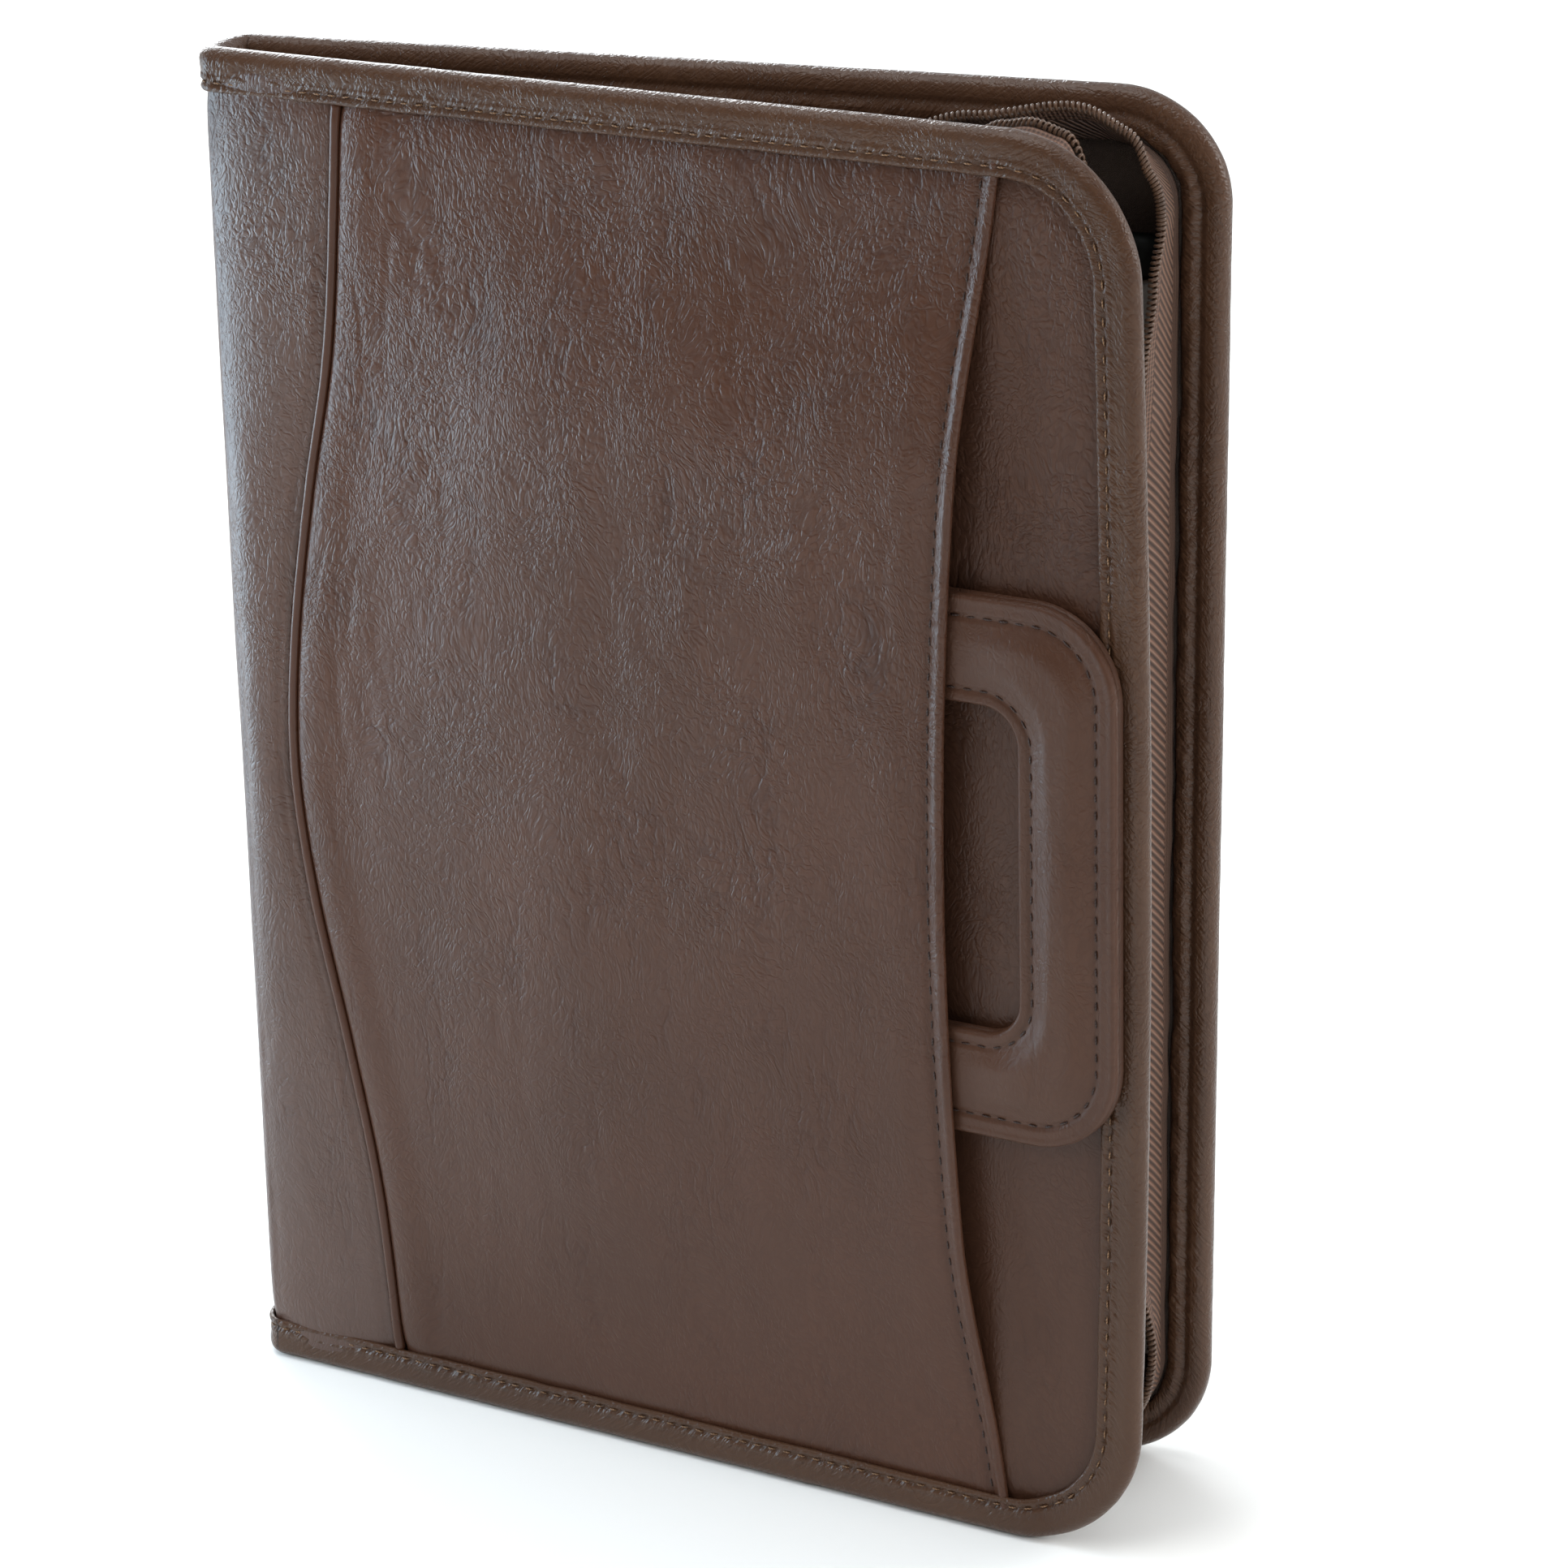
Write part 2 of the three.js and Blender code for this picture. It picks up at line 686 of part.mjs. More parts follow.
function handleGroup() {
  const group = new THREE.Group();
  group.position.set(handleRear, -spineRadius - handleFloor, handleMiddle);
  group.rotation.x = Math.PI / 2;
  const back = piece("handle_back", handleGeometry(handleBackWall), "leather");
  const face = piece("handle_face", handleGeometry(handleFaceWall), "leather");
  face.position.z = handleBackWall + clearance;
  group.add(back, face);
  return group;
}

function padGroup() {
  const group = new THREE.Group();
  const middle = marginAtSpine + padWidth / 2;
  const restingFace = spineRadius + liningInner - clearance;
  const top = marginBelowPad + padHeight;
  group.rotation.z = openingAngle;
  const sheetsHeight = padHeight - padHeaderHeight - clearance;
  const sheets = piece("pad_sheets", new THREE.BoxGeometry(padWidth, padThickness, sheetsHeight), "paper");
  sheets.position.set(middle, restingFace - padThickness / 2, marginBelowPad + sheetsHeight / 2);
  const headerThickness = padThickness + padHeaderWrap;
  const headerBox = new THREE.BoxGeometry(padWidth, headerThickness, padHeaderHeight);
  const header = piece("pad_header", headerBox, "header");
  header.position.set(middle, restingFace - headerThickness / 2, top - padHeaderHeight / 2);
  group.add(sheets, header);
  return group;
}

const portfolio = new THREE.Group();
portfolio.add(caseGroup(), zipGroup(), handleGroup(), padGroup());

// The origin is under the middle of the whole object, on the surface that it stands on.
portfolio.updateMatrixWorld(true);
const extent = new THREE.Box3().setFromObject(portfolio);
const centre = extent.getCenter(new THREE.Vector3());
portfolio.position.set(-centre.x, -centre.y, -extent.min.z);

export default portfolio;
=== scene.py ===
"""Looks of a zip portfolio with a flat handle in a front pocket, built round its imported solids.

Lengths here are millimetres in the case's own places: s along a cover from where the spine's curve ends,
z the height, and d the distance outward from the spine leather's outer face. Blender's are metres.
"""

import math
from collections import namedtuple

import bpy
import numpy as np
from mathutils import Matrix, Vector


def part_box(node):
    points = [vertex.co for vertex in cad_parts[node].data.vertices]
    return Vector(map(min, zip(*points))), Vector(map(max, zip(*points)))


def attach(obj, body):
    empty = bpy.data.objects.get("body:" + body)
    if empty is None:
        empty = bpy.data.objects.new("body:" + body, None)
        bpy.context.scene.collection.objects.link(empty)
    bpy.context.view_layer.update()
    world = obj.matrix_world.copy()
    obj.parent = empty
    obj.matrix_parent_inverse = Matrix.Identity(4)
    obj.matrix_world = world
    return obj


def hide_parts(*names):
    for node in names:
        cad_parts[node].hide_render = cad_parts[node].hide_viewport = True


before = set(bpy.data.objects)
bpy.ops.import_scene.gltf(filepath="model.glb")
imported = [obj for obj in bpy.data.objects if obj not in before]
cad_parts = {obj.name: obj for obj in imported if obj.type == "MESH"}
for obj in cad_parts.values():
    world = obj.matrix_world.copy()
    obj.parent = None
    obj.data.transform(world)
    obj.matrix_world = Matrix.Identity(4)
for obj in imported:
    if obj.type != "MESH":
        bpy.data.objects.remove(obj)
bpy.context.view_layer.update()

MM = 0.001

# The case
COVER_HEIGHT = 343
FRONT_WIDTH = 248.8
BACK_WIDTH = 246
FRONT_CORNER = 33
BACK_CORNER = 27
FORE_BOW = 3.3
BACK_LEAN = 4.4
OPENING = math.radians(9.5)
SPINE_RADIUS = 10.8
SPINE_DEPTH = 5.6
SPINE_ARC = SPINE_RADIUS * (math.pi - OPENING)

# Heights of the layers
SHELL_WALL = 3
PANEL_FACE = -1.2
POCKET_FACE = 0.1
LINING_OUTER = -3.3
LINING_INNER = -4.3
FLANGE_INNER = -5.6
LEATHER = 1

# The binding
ROLL_HALF = 3.2
FLANGE_EDGE = 10.4
CHANNEL = 4.2
BINDING_RISE = 1.3
EDGE_INSET = 4.5
OPEN_EDGE = 10.7
STITCH_LINE = 8.2
INNER_GROOVE = 6.2
STITCH_PITCH = 4.2
BINDING_STEP = 0.85

# The seam, the pocket and the handle
BEAD_RADIUS = 1.25
MOUTH_INSET = 46.8
MOUTH_SWEEP = 15.2
HEM_WIDTH = 3.4
HEM_HALF = 1.15
MOUTH_STITCH = 4.1
HANDLE_MIDDLE = 170.5
HANDLE_HEIGHT = 132
HANDLE_DEPTH = 137
HANDLE_REAR = 110.3
HANDLE_CORNER = 22
HANDLE_INNER_CORNER = 8
HANDLE_GRIP = 25.6
HANDLE_LEG = 26.2
HANDLE_INNER_BAR = 28
SLOT_CORNER = 9
HANDLE_RIM = 5.3
SLOT_RIM = 3.6
HANDLE_BEAD = 0.9
POCKET_BULGE = 6.5
POCKET_SLOPE = 64
PANEL_SHOWN = 168

# The zip; a coil's half is its half thickness, and its turn the radius that its thread's middle runs on
TAPE_WIDTH = 18.5
TAPE_HALF = 0.4
TAPE_KNEE = 4.5
ZIP_START = 24
ZIP_STEP = 1.4
COIL_GAP = 0.5
COIL_HALF = 1.35
COIL_TURN = 1.3 - 0.42
COIL_WIRE = 0.44
COIL_PITCH = 1.32
COIL_STEPS = 9

# The writing pad; its face's level is measured from the spine's centre
PAD_START = 16
PAD_WIDTH = 216
PAD_LOW = 29.8
PAD_HIGH = 299.1
PAD_FACE = 1.7
PAD_THICK = 4.5

# The camera, level axes first and then the small roll of the photograph
CAMERA_YAW = math.radians(31.56)
CAMERA_PITCH = math.radians(18.79)
CAMERA_ROLL = math.radians(1.27)
CAMERA_PLACE = (791.08, -1043.5, 593.8)
CAMERA_LENS = 125.1

# The spine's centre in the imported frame
spine_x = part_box("binding_spine_top")[1].x / MM
spine_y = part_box("case_shell")[0].y / MM + SPINE_RADIUS
shift = np.array([spine_x, spine_y, 0.0])


def linked(name, data):
    """A new object in the scene."""
    made = bpy.data.objects.new(name, data)
    bpy.context.scene.collection.objects.link(made)
    return made


def make_camera():
    yaw, pitch, roll = CAMERA_YAW, CAMERA_PITCH, CAMERA_ROLL
    ahead = math.cos(pitch)
    forward = Vector((-math.sin(yaw) * ahead, math.cos(yaw) * ahead, -math.sin(pitch)))
    level = Vector((math.cos(yaw), math.sin(yaw), 0))
    down = forward.cross(level)
    right = math.cos(roll) * level + math.sin(roll) * down
    lower = -math.sin(roll) * level + math.cos(roll) * down
    data = bpy.data.cameras.new("camera")
    data.lens = CAMERA_LENS
    data.sensor_width = 36
    data.clip_start = 0.05
    data.clip_end = 50
    camera = linked("camera", data)
    turn = Matrix((right, -lower, -forward)).transposed().to_4x4()
    camera.matrix_world = Matrix.Translation((Vector(CAMERA_PLACE) + Vector(shift)) * MM) @ turn
    bpy.context.scene.camera = camera


make_camera()

# Shape tables

SEAM_ROWS = [
    # height as a share of the cover's, distance from the spine as a share of its width
    (1.0, 0.149),
    (0.9, 0.139),
    (0.79, 0.123),
    (0.69, 0.093),
    (0.58, 0.067),
    (0.48, 0.058),
    (0.385, 0.073),
    (0.27, 0.107),
    (0.15, 0.138),
    (0.0, 0.156),
]

FRONT_TAPE_ROWS = [
    # share of the way, lean in degrees, share of the tape that stands clear
    (0, 30, 0.5),
    (0.03, 12, 0.45),
    (0.05, -16, 0.5),
    (0.08, -54, 0.8),
    (0.12, -42, 1),
    (0.16, -12, 0.84),
    (0.2, 0, 0.95),
    (0.222, 8, 1),
    (0.235, 20, 1),
    (0.245, 24, 1),
    (0.256, 18, 1),
    (0.27, -4, 1),
    (0.29, -20, 1),
    (0.33, -22, 1),
    (0.37, -16, 1),
    (0.5, -8, 1),
    (0.64, -12, 1),
    (0.78, -18, 1),
    (0.87, -44, 1),
    (0.94, -60, 0.95),
    (1, -66, 0.74),
]

BACK_TAPE_ROWS = [
    (0, 30, 0.5),
    (0.03, 10, 0.45),
    (0.05, -40, 0.5),
    (0.08, -54, 0.8),
    (0.12, -40, 1),
    (0.155, -14, 0.8),
    (0.19, 4, 0.9),
    (0.22, 20, 1),
    (0.25, 30, 1),
    (0.27, 21, 1),
    (0.288, 10, 1),
    (0.31, 7, 1),
    (0.33, 2, 1),
    (0.36, -5, 1),
    (0.4, -12, 1),
    (0.5, -14, 1),
    (0.64, -6, 1),
    (0.675, 10, 1),
    (0.71, 0, 1),
    (0.78, -12, 1),
    (0.87, -44, 1),
    (0.94, -60, 0.95),
    (1, -66, 0.74),
]

# Small helpers


def eased(share):
    t = np.clip(share, 0, 1)
    return t * t * (3 - 2 * t)


def bump(distance, half_width):
    """A smooth hump of height 1 at distance 0, gone at half_width."""
    return 1 - eased(np.abs(distance) / half_width)


def unit(vectors):
    return vectors / np.linalg.norm(vectors, axis=-1, keepdims=True)


def from_table(rows, key, column):
    rows = np.array(rows, float)
    after = np.clip(np.searchsorted(rows[:, 0], key), 1, len(rows) - 1)
    low, high = rows[after - 1], rows[after]
    t = eased((key - low[..., 0]) / (high[..., 0] - low[..., 0]))
    return low[..., column] + (high[..., column] - low[..., column]) * t


def lattice(i, j, seed):
    with np.errstate(over="ignore"):
        n = i.astype(np.uint32) * np.uint32(374761393) + j.astype(np.uint32) * np.uint32(668265263)
        n = n + np.uint32(seed * 974711 + 13)
        n = (n ^ (n >> np.uint32(13))) * np.uint32(1274126177)
        n = (n ^ (n >> np.uint32(15))) * np.uint32(2246822519)
    return (n >> np.uint32(8)).astype(float) / 8388608 - 1


def noise(u, v, seed):
    """Smooth noise from -1 to 1, one lattice cell a unit wide."""
    u, v = np.broadcast_arrays(np.asarray(u, float), np.asarray(v, float))
    i, j = np.floor(u), np.floor(v)
    a, b = eased(u - i), eased(v - j)
    i, j = i.astype(np.int64), j.astype(np.int64)
    low = lattice(i, j, seed) * (1 - a) + lattice(i + 1, j, seed) * a
    high = lattice(i, j + 1, seed) * (1 - a) + lattice(i + 1, j + 1, seed) * a
    return low * (1 - b) + high * b


def crease(value, half_width):
    """1 along the lines where a noise passes nought, falling off to either side."""
    return np.clip(1 - np.abs(value) / half_width, 0, 1) ** 1.5


# Places in space


def on_front(s, z, d):
    s, z, d = np.broadcast_arrays(s, z, d)
    bow = FORE_BOW * np.sin(math.pi * z / COVER_HEIGHT) * (np.clip(s, 0, None) / FRONT_WIDTH) ** 4
    return np.stack([s + bow, -SPINE_RADIUS - d, z], -1)


def on_back(s, z, d):
    s, z, d = np.broadcast_arrays(s, z, d)
    sine, cosine = math.sin(OPENING), math.cos(OPENING)
    reach = SPINE_RADIUS + d
    along = s + BACK_LEAN * (z / COVER_HEIGHT - 0.5) * (np.clip(s, 0, None) / BACK_WIDTH) ** 4
    return np.stack([along * cosine - reach * sine, along * sine + reach * cosine, z], -1)


def on_spine(run, z, d):
    """A half round pressed towards the straight line between its two ends."""
    run, z, d = np.broadcast_arrays(run, z, d)
    angle = -math.pi / 2 - run / SPINE_RADIUS
    reach = SPINE_RADIUS + d
    x, y = reach * np.cos(angle), reach * np.sin(angle)
    out_x, out_y = -math.cos(OPENING / 2), -math.sin(OPENING / 2)
    height = x * out_x + y * out_y - reach * math.sin(OPENING / 2)
    pressed = height * (SPINE_DEPTH + d) / reach - height
    return np.stack([x + out_x * pressed, y + out_y * pressed, z], -1)


def on_case(run, z, d):
    run, z, d = np.broadcast_arrays(run, z, d)
    placed = on_spine(run, z, d)
    placed = np.where((run <= 0)[..., None], on_front(-run, z, d), placed)
    return np.where((run >= SPINE_ARC)[..., None], on_back(run - SPINE_ARC, z, d), placed)


Cover = namedtuple("Cover", "width corner place")
FRONT = Cover(FRONT_WIDTH, FRONT_CORNER, on_front)
BACK = Cover(BACK_WIDTH, BACK_CORNER, on_back)


def seam_curve():
    """The seam's distance from the spine for each height, from the same spline as the solids."""
    knots = np.array([(across * FRONT_WIDTH, height * COVER_HEIGHT) for height, across in SEAM_ROWS])[::-1]
    found = []
    last = len(knots) - 1
    for i in range(last):
        p0, p1, p2, p3 = knots[max(i - 1, 0)], knots[i], knots[i + 1], knots[min(i + 2, last)]
        for t in np.linspace(0, 1, 41)[:, None]:
            v0, v1 = (p2 - p0) / 2, (p3 - p1) / 2
            cubic = 2 * p1 - 2 * p2 + v0 + v1
            square = -3 * p1 + 3 * p2 - 2 * v0 - v1
            found.append(cubic * t**3 + square * t**2 + v0 * t + p1)
    return np.array(found)


SEAM = seam_curve()


def seam_at(z):
    return np.interp(z, SEAM[:, 1], SEAM[:, 0])


def mouth_at(z):
    share = np.abs(z - HANDLE_MIDDLE) / (COVER_HEIGHT / 2)
    return FRONT_WIDTH - MOUTH_INSET + MOUTH_SWEEP * share**2


def column_top(cover, s, inset):
    past = np.clip(s - (cover.width - cover.corner), 0, None)
    radius = cover.corner - inset
    return COVER_HEIGHT - cover.corner + np.sqrt(np.clip(radius**2 - past**2, 0, None))


def corner_columns(cover, count):
    """Places along the cover's corner, evenly turned from its straight top to its fore edge."""
    turn = np.sin(np.linspace(0, math.pi / 2, count))
    return cover.width - cover.corner + (cover.corner - EDGE_INSET) * turn


def rows_of_column(cover, s, rows):
    top = column_top(cover, s, EDGE_INSET)
    squeeze = (2 * top - COVER_HEIGHT) / (COVER_HEIGHT - 2 * EDGE_INSET)
    return COVER_HEIGHT / 2 + (rows[None, :] - COVER_HEIGHT / 2) * np.asarray(squeeze)[:, None]


def pocket_rise(s, z):
    seam = seam_at(z) + BEAD_RADIUS + 0.3
    across = eased((s - seam) / (HANDLE_REAR - 0.3 - seam))
    half_flat = HANDLE_HEIGHT / 2 + 24
    along = 1 - eased((np.abs(z - HANDLE_MIDDLE) - half_flat) / POCKET_SLOPE)
    return POCKET_BULGE * across * along


def edge_distance(cover, s, z):
    """How far a place lies inside a cover's outline; the spine side doesn't count."""
    radius = cover.corner
    right = cover.width - s
    low, high = z, COVER_HEIGHT - z
    near = np.minimum(np.minimum(right, low), high)
    tall = np.minimum(low, high)
    in_corner = (right < radius) & (tall < radius)
    rounded = radius - np.hypot(radius - right, radius - tall)
    return np.where(in_corner, rounded, near)


# Meshes


def raw_mesh(name, points, quads, triangles=None):
    """A mesh from arrays, faces turned outward; the points are in case places' millimetres."""
    points = (np.asarray(points, float).reshape(-1, 3) + shift) * MM
    quads = np.asarray(quads, np.int64).reshape(-1, 4)
    triangles = np.zeros((0, 3), np.int64) if triangles is None else np.asarray(triangles, np.int64)
    halves = np.concatenate([quads[:, [0, 1, 2]], quads[:, [0, 2, 3]], triangles])
    centre = points.mean(0)
    a, b, c = (points[halves[:, i]] - centre for i in range(3))
    if (a * np.cross(b, c)).sum() < 0:
        quads = quads[:, ::-1]
        triangles = triangles[:, ::-1]
    mesh = bpy.data.meshes.new(name)
    mesh.vertices.add(len(points))
    mesh.vertices.foreach_set("co", points.ravel())
    corners = np.concatenate([quads.ravel(), triangles.ravel()])
    mesh.loops.add(len(corners))
    mesh.loops.foreach_set("vertex_index", corners.astype(np.int32))
    sizes = np.concatenate([np.full(len(quads), 4), np.full(len(triangles), 3)])
    mesh.polygons.add(len(sizes))
    mesh.polygons.foreach_set("loop_start", (np.cumsum(sizes) - sizes).astype(np.int32))
    mesh.update(calc_edges=True)
    mesh.polygons.foreach_set("use_smooth", np.ones(len(sizes), bool))
    mesh.validate()
    return mesh


def piece(mesh, material, nodes=(), body="case"):
    made = linked(mesh.name, mesh)
    mesh.materials.append(material)
    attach(made, body)
    if nodes:
        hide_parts(*nodes)
    return made


def tell(made, name, values):
    """Gives the vertices a named value for the material to read."""
    attribute = made.data.attributes.new(name, "FLOAT_VECTOR", "POINT")
    attribute.data.foreach_set("vector", np.asarray(values, np.float32).reshape(-1, 3).ravel())


def grid_faces(columns, rows, start=0, closed_columns=False, closed_rows=False):
    i = np.arange(columns if closed_columns else columns - 1)
    j = np.arange(rows if closed_rows else rows - 1)
    i, j = (x.ravel() for x in np.meshgrid(i, j, indexing="ij"))
    i2, j2 = (i + 1) % columns, (j + 1) % rows
    return start + np.stack([i * rows + j, i * rows + j2, i2 * rows + j2, i2 * rows + j], -1)


def wall_mesh(name, outer, inner):
    """A closed wall between two grids of places."""
    columns, rows = outer.shape[:2]
    count = columns * rows
    front = grid_faces(columns, rows)
    back = grid_faces(columns, rows, count)[:, ::-1]
    i, j = np.arange(columns), np.arange(rows)
    far_side = (columns - 1) * rows + j[1:]
    round_it = np.concatenate([i * rows, far_side, i[::-1][1:] * rows + rows - 1, j[::-1][1:]])
    a, b = round_it[:-1], round_it[1:]
    sides = np.stack([a, b, b + count, a + count], -1)
    points = np.concatenate([outer.reshape(-1, 3), inner.reshape(-1, 3)])
    return raw_mesh(name, points, np.concatenate([front, back, sides]))


def loft_mesh(name, rings, closed):
    """A body through closed rings; its ends are joined, or capped by a fan."""
    count, sides = rings.shape[:2]
    faces = grid_faces(count, sides, closed_columns=closed, closed_rows=True)
    points = rings.reshape(-1, 3)
    if closed:
        return raw_mesh(name, points, faces)
    ends = np.stack([rings[0].mean(0), rings[-1].mean(0)])
    side = np.arange(sides)
    after = (side + 1) % sides
    base = (count - 1) * sides
    first = np.stack([side, np.full(sides, count * sides), after], -1)
    last = np.stack([base + side, base + after, np.full(sides, count * sides + 1)], -1)
    return raw_mesh(name, np.concatenate([points, ends]), faces, np.concatenate([first, last]))


# Materials

# Heights between which the leather's grain grows from calm to full, and the unit of its relief in metres
GRAIN_CALM = 40
GRAIN_FULL = 250
GRAIN_DEPTH = 0.00017
WEAVE_PITCH = 0.625
LINE_PITCH = 7.1
# Where the tape's cord edge ends and where its broad ribs end, from its free side
TAPE_CORD = 3.4
TAPE_RIBS = 12.6


class Nodes:
    """A short way to write a node tree."""

    def __init__(self, name):
        self.material = bpy.data.materials.new(name)
        self.material.use_nodes = True
        self.tree = self.material.node_tree
        self.shader = self.tree.nodes["Principled BSDF"]

    def add(self, kind, inputs=(), **settings):
        node = self.tree.nodes.new(kind)
        for key, value in settings.items():
            setattr(node, key, value)
        for key, value in dict(inputs).items():
            self.put(node.inputs[key], value)
        return node

    def put(self, socket, value):
        if isinstance(value, bpy.types.NodeSocket):
            self.tree.links.new(value, socket)
        else:
            socket.default_value = value

    def maths(self, operation, a, b=0.0):
        return self.add("ShaderNodeMath", {0: a, 1: b}, operation=operation).outputs[0]

    def product(self, a, b):
        return self.maths("MULTIPLY", a, b)

    def total(self, first, *others):
        for other in others:
            first = self.maths("ADD", first, other)
        return first

    def wave(self, value, pitch):
        return self.maths("SINE", self.product(value, 2 * math.pi / pitch))

    def vector(self, operation, a, b):
        return self.add("ShaderNodeVectorMath", {0: a, 1: b}, operation=operation).outputs[0]

    def parts(self, vector):
        return self.add("ShaderNodeSeparateXYZ", {0: vector}).outputs

    def told(self, name):
        """The parts of a value that the vertices carry."""
        return self.parts(self.add("ShaderNodeAttribute", attribute_name=name).outputs["Vector"])

    def millimetres(self, upright=1.0):
        """Places in the shared frame; upright draws their heights together, which lengthens a pattern."""
        place = self.add("ShaderNodeTexCoord").outputs["Object"]
        return self.vector("MULTIPLY", place, (1000, 1000, 1000 * upright))

    def noise(self, places, scale, detail=2.0, output=0):
        inputs = {"Vector": places, "Scale": scale, "Detail": detail}
        return self.add("ShaderNodeTexNoise", inputs).outputs[output]

    def span(self, value, low, high, to_low=0.0, to_high=1.0):
        inputs = {"Value": value, "From Min": low, "From Max": high, "To Min": to_low, "To Max": to_high}
        return self.add("ShaderNodeMapRange", inputs).outputs[0]

    def blend(self, share, a, b):
        node = self.add("ShaderNodeMix", {0: share}, data_type="RGBA")
        self.put(node.inputs[6], a)
        self.put(node.inputs[7], b)
        return node.outputs[2]

    def finish(self, colour, rough, height=None, depth=0.0002, strength=1.0):
        """The surface's colour and roughness, and a relief whose unit of height is depth metres."""
        self.put(self.shader.inputs["Base Color"], colour)
        self.put(self.shader.inputs["Roughness"], rough)
        if height is not None:
            relief = self.add("ShaderNodeBump", {"Strength": strength, "Distance": depth, "Height": height})
            self.put(self.shader.inputs["Normal"], relief.outputs["Normal"])
        return self.material


def tone(red, green, blue):
    """A colour from sRGB bytes."""
    shares = [byte / 255 for byte in (red, green, blue)]
    return (*(s / 12.92 if s <= 0.04 else ((s + 0.055) / 1.055) ** 2.4 for s in shares), 1.0)


def stirred(n, places, scale, detail, reach):
    """The same places, each pushed aside by a noise."""
    push = n.vector("SUBTRACT", n.noise(places, scale, detail, "Color"), (0.5, 0.5, 0.5))
    return n.vector("ADD", places, n.vector("MULTIPLY", push, (reach, reach, reach)))


def ridges(n, places, scale, half_width, detail=1.5):
    """1 along the winding lines where a noise passes its middle."""
    from_middle = n.maths("ABSOLUTE", n.maths("SUBTRACT", n.noise(places, scale, detail), 0.5))
    return n.span(from_middle, 0.0, half_width, 1.0, 0.0)


def gathers(n):
    """The binding's relief: slanting pleats beside its stitches, and a twist over the whole strip."""
    along, inward, _ = n.told("strip")
    slanted = n.total(n.product(along, 0.7), n.product(inward, 0.45))
    pleat_place = n.add("ShaderNodeCombineXYZ", {0: slanted, 1: n.product(inward, 0.22)}).outputs[0]
    from_stitches = n.maths("ABSOLUTE", n.maths("SUBTRACT", inward, 7.4))
    pleat = n.product(n.noise(pleat_place, 1.0), n.span(from_stitches, 0.8, 3.4, 1.0, 0.0))
    twisted = n.total(n.product(along, 0.9), n.product(inward, 1.3))
    twist_place = n.add("ShaderNodeCombineXYZ", {0: twisted, 1: n.product(inward, 0.15)}).outputs[0]
    return n.total(n.product(pleat, 4.6), n.product(n.noise(twist_place, 1.0, 1.0), 1.3))


def leather_material(
    name, light, dark, crease_shade, grain=1.0, folds=1.0, rough=0.36, upright=0.72, gathered=False, shine=0.28
):
    """Grained leather: slanting wrinkles over pebbles, and clusters of deeper upright folds, with painted
    shade darkening the creases and folds.
    """
    n = Nodes(name)
    milli = n.millimetres(upright)
    swirl = stirred(n, milli, 0.05, 1.0, 14)
    grained = stirred(n, swirl, 0.33, 2.0, 3.2)
    cells = n.add("ShaderNodeTexVoronoi", {"Vector": grained, "Scale": 0.55}, feature="DISTANCE_TO_EDGE")
    pebble = n.span(cells.outputs["Distance"], 0.0, 0.28)
    pebble.node.interpolation_type = "SMOOTHSTEP"
    elsewhere = n.vector("ADD", swirl, (40, 7, 3))
    wrinkle = n.maths("MAXIMUM", ridges(n, grained, 0.3, 0.075), ridges(n, elsewhere, 0.42, 0.07))
    # The grain is strong in patches and high up, and calm towards the bottom.
    lively = n.span(n.parts(milli)[2], GRAIN_CALM * upright, GRAIN_FULL * upright, 0.5, 1.0)
    strong = n.product(n.span(n.noise(milli, 0.03), 0.35, 0.65, 0.55, 1.0), lively)
    fold = ridges(n, n.vector("MULTIPLY", swirl, (1.0, 1.0, 0.5)), 0.2, 0.07, 3.0)
    clusters = n.vector("MULTIPLY", milli, (1.0, 1.0, 0.55))
    cluster = n.span(n.noise(clusters, 0.065, 1.5), 0.5, 0.66)
    fold = n.product(fold, n.product(cluster, n.product(lively, folds)))
    height = n.total(
        n.product(pebble, n.product(strong, 0.5 * grain)),
        n.product(wrinkle, n.product(strong, -0.55 * grain)),
        n.product(fold, -0.9),
        n.product(n.noise(milli, 1.6), 0.2 * grain),
    )
    if gathered:
        height = n.total(height, gathers(n))
    spread = n.noise(milli, 0.018, 3.0)
    # Painted shade: the wrinkles' creases and the folds are blended towards the darker crease colour, more
    # so high up where the grain is strong.
    deep = n.total(n.product(wrinkle, n.product(strong, 0.42 * grain)), n.product(fold, 0.4))
    colour = n.blend(n.span(spread, 0.3, 0.7), dark, light)
    colour = n.blend(n.maths("MINIMUM", deep, 1.0), colour, crease_shade)
    gloss = n.total(n.span(spread, 0.3, 0.7, rough + 0.02, rough - 0.03), n.product(cluster, 0.07))
    n.shader.inputs["Specular IOR Level"].default_value = shine
    return n.finish(colour, gloss, height, GRAIN_DEPTH)


def thread_material(name, colour, deep):
    """Thread whose plies wind round it, the grooves between the plies darkened by painted shade."""
    n = Nodes(name)
    along, across, _ = n.told("ply")
    wave = n.maths("ABSOLUTE", n.maths("SINE", n.total(n.product(along, 4.2), across)))
    return n.finish(n.blend(wave, deep, colour), n.span(wave, 0.0, 1.0, 0.75, 0.5), wave, 0.0001, 0.6)


def cloth_material(name, colour, deep):
    """A plain weave from two crossed waves, broken by noise."""
    n = Nodes(name)
    milli = n.millimetres()
    across, _, tall = n.parts(milli)
    weave = n.product(n.wave(across, WEAVE_PITCH), n.wave(tall, WEAVE_PITCH))
    fuzz = n.noise(milli, 0.6, 3.0)
    height = n.total(n.product(weave, 0.5), fuzz)
    # Mostly a random tone; the weave's low crossings are also a little darker, which is painted shade.
    share = n.total(n.product(weave, 0.2), n.span(n.noise(milli, 0.04), 0.3, 0.7, 0.3, 0.7))
    return n.finish(n.blend(share, deep, colour), n.span(fuzz, 0.3, 0.7, 0.8, 0.95), height, 0.0002, 0.5)


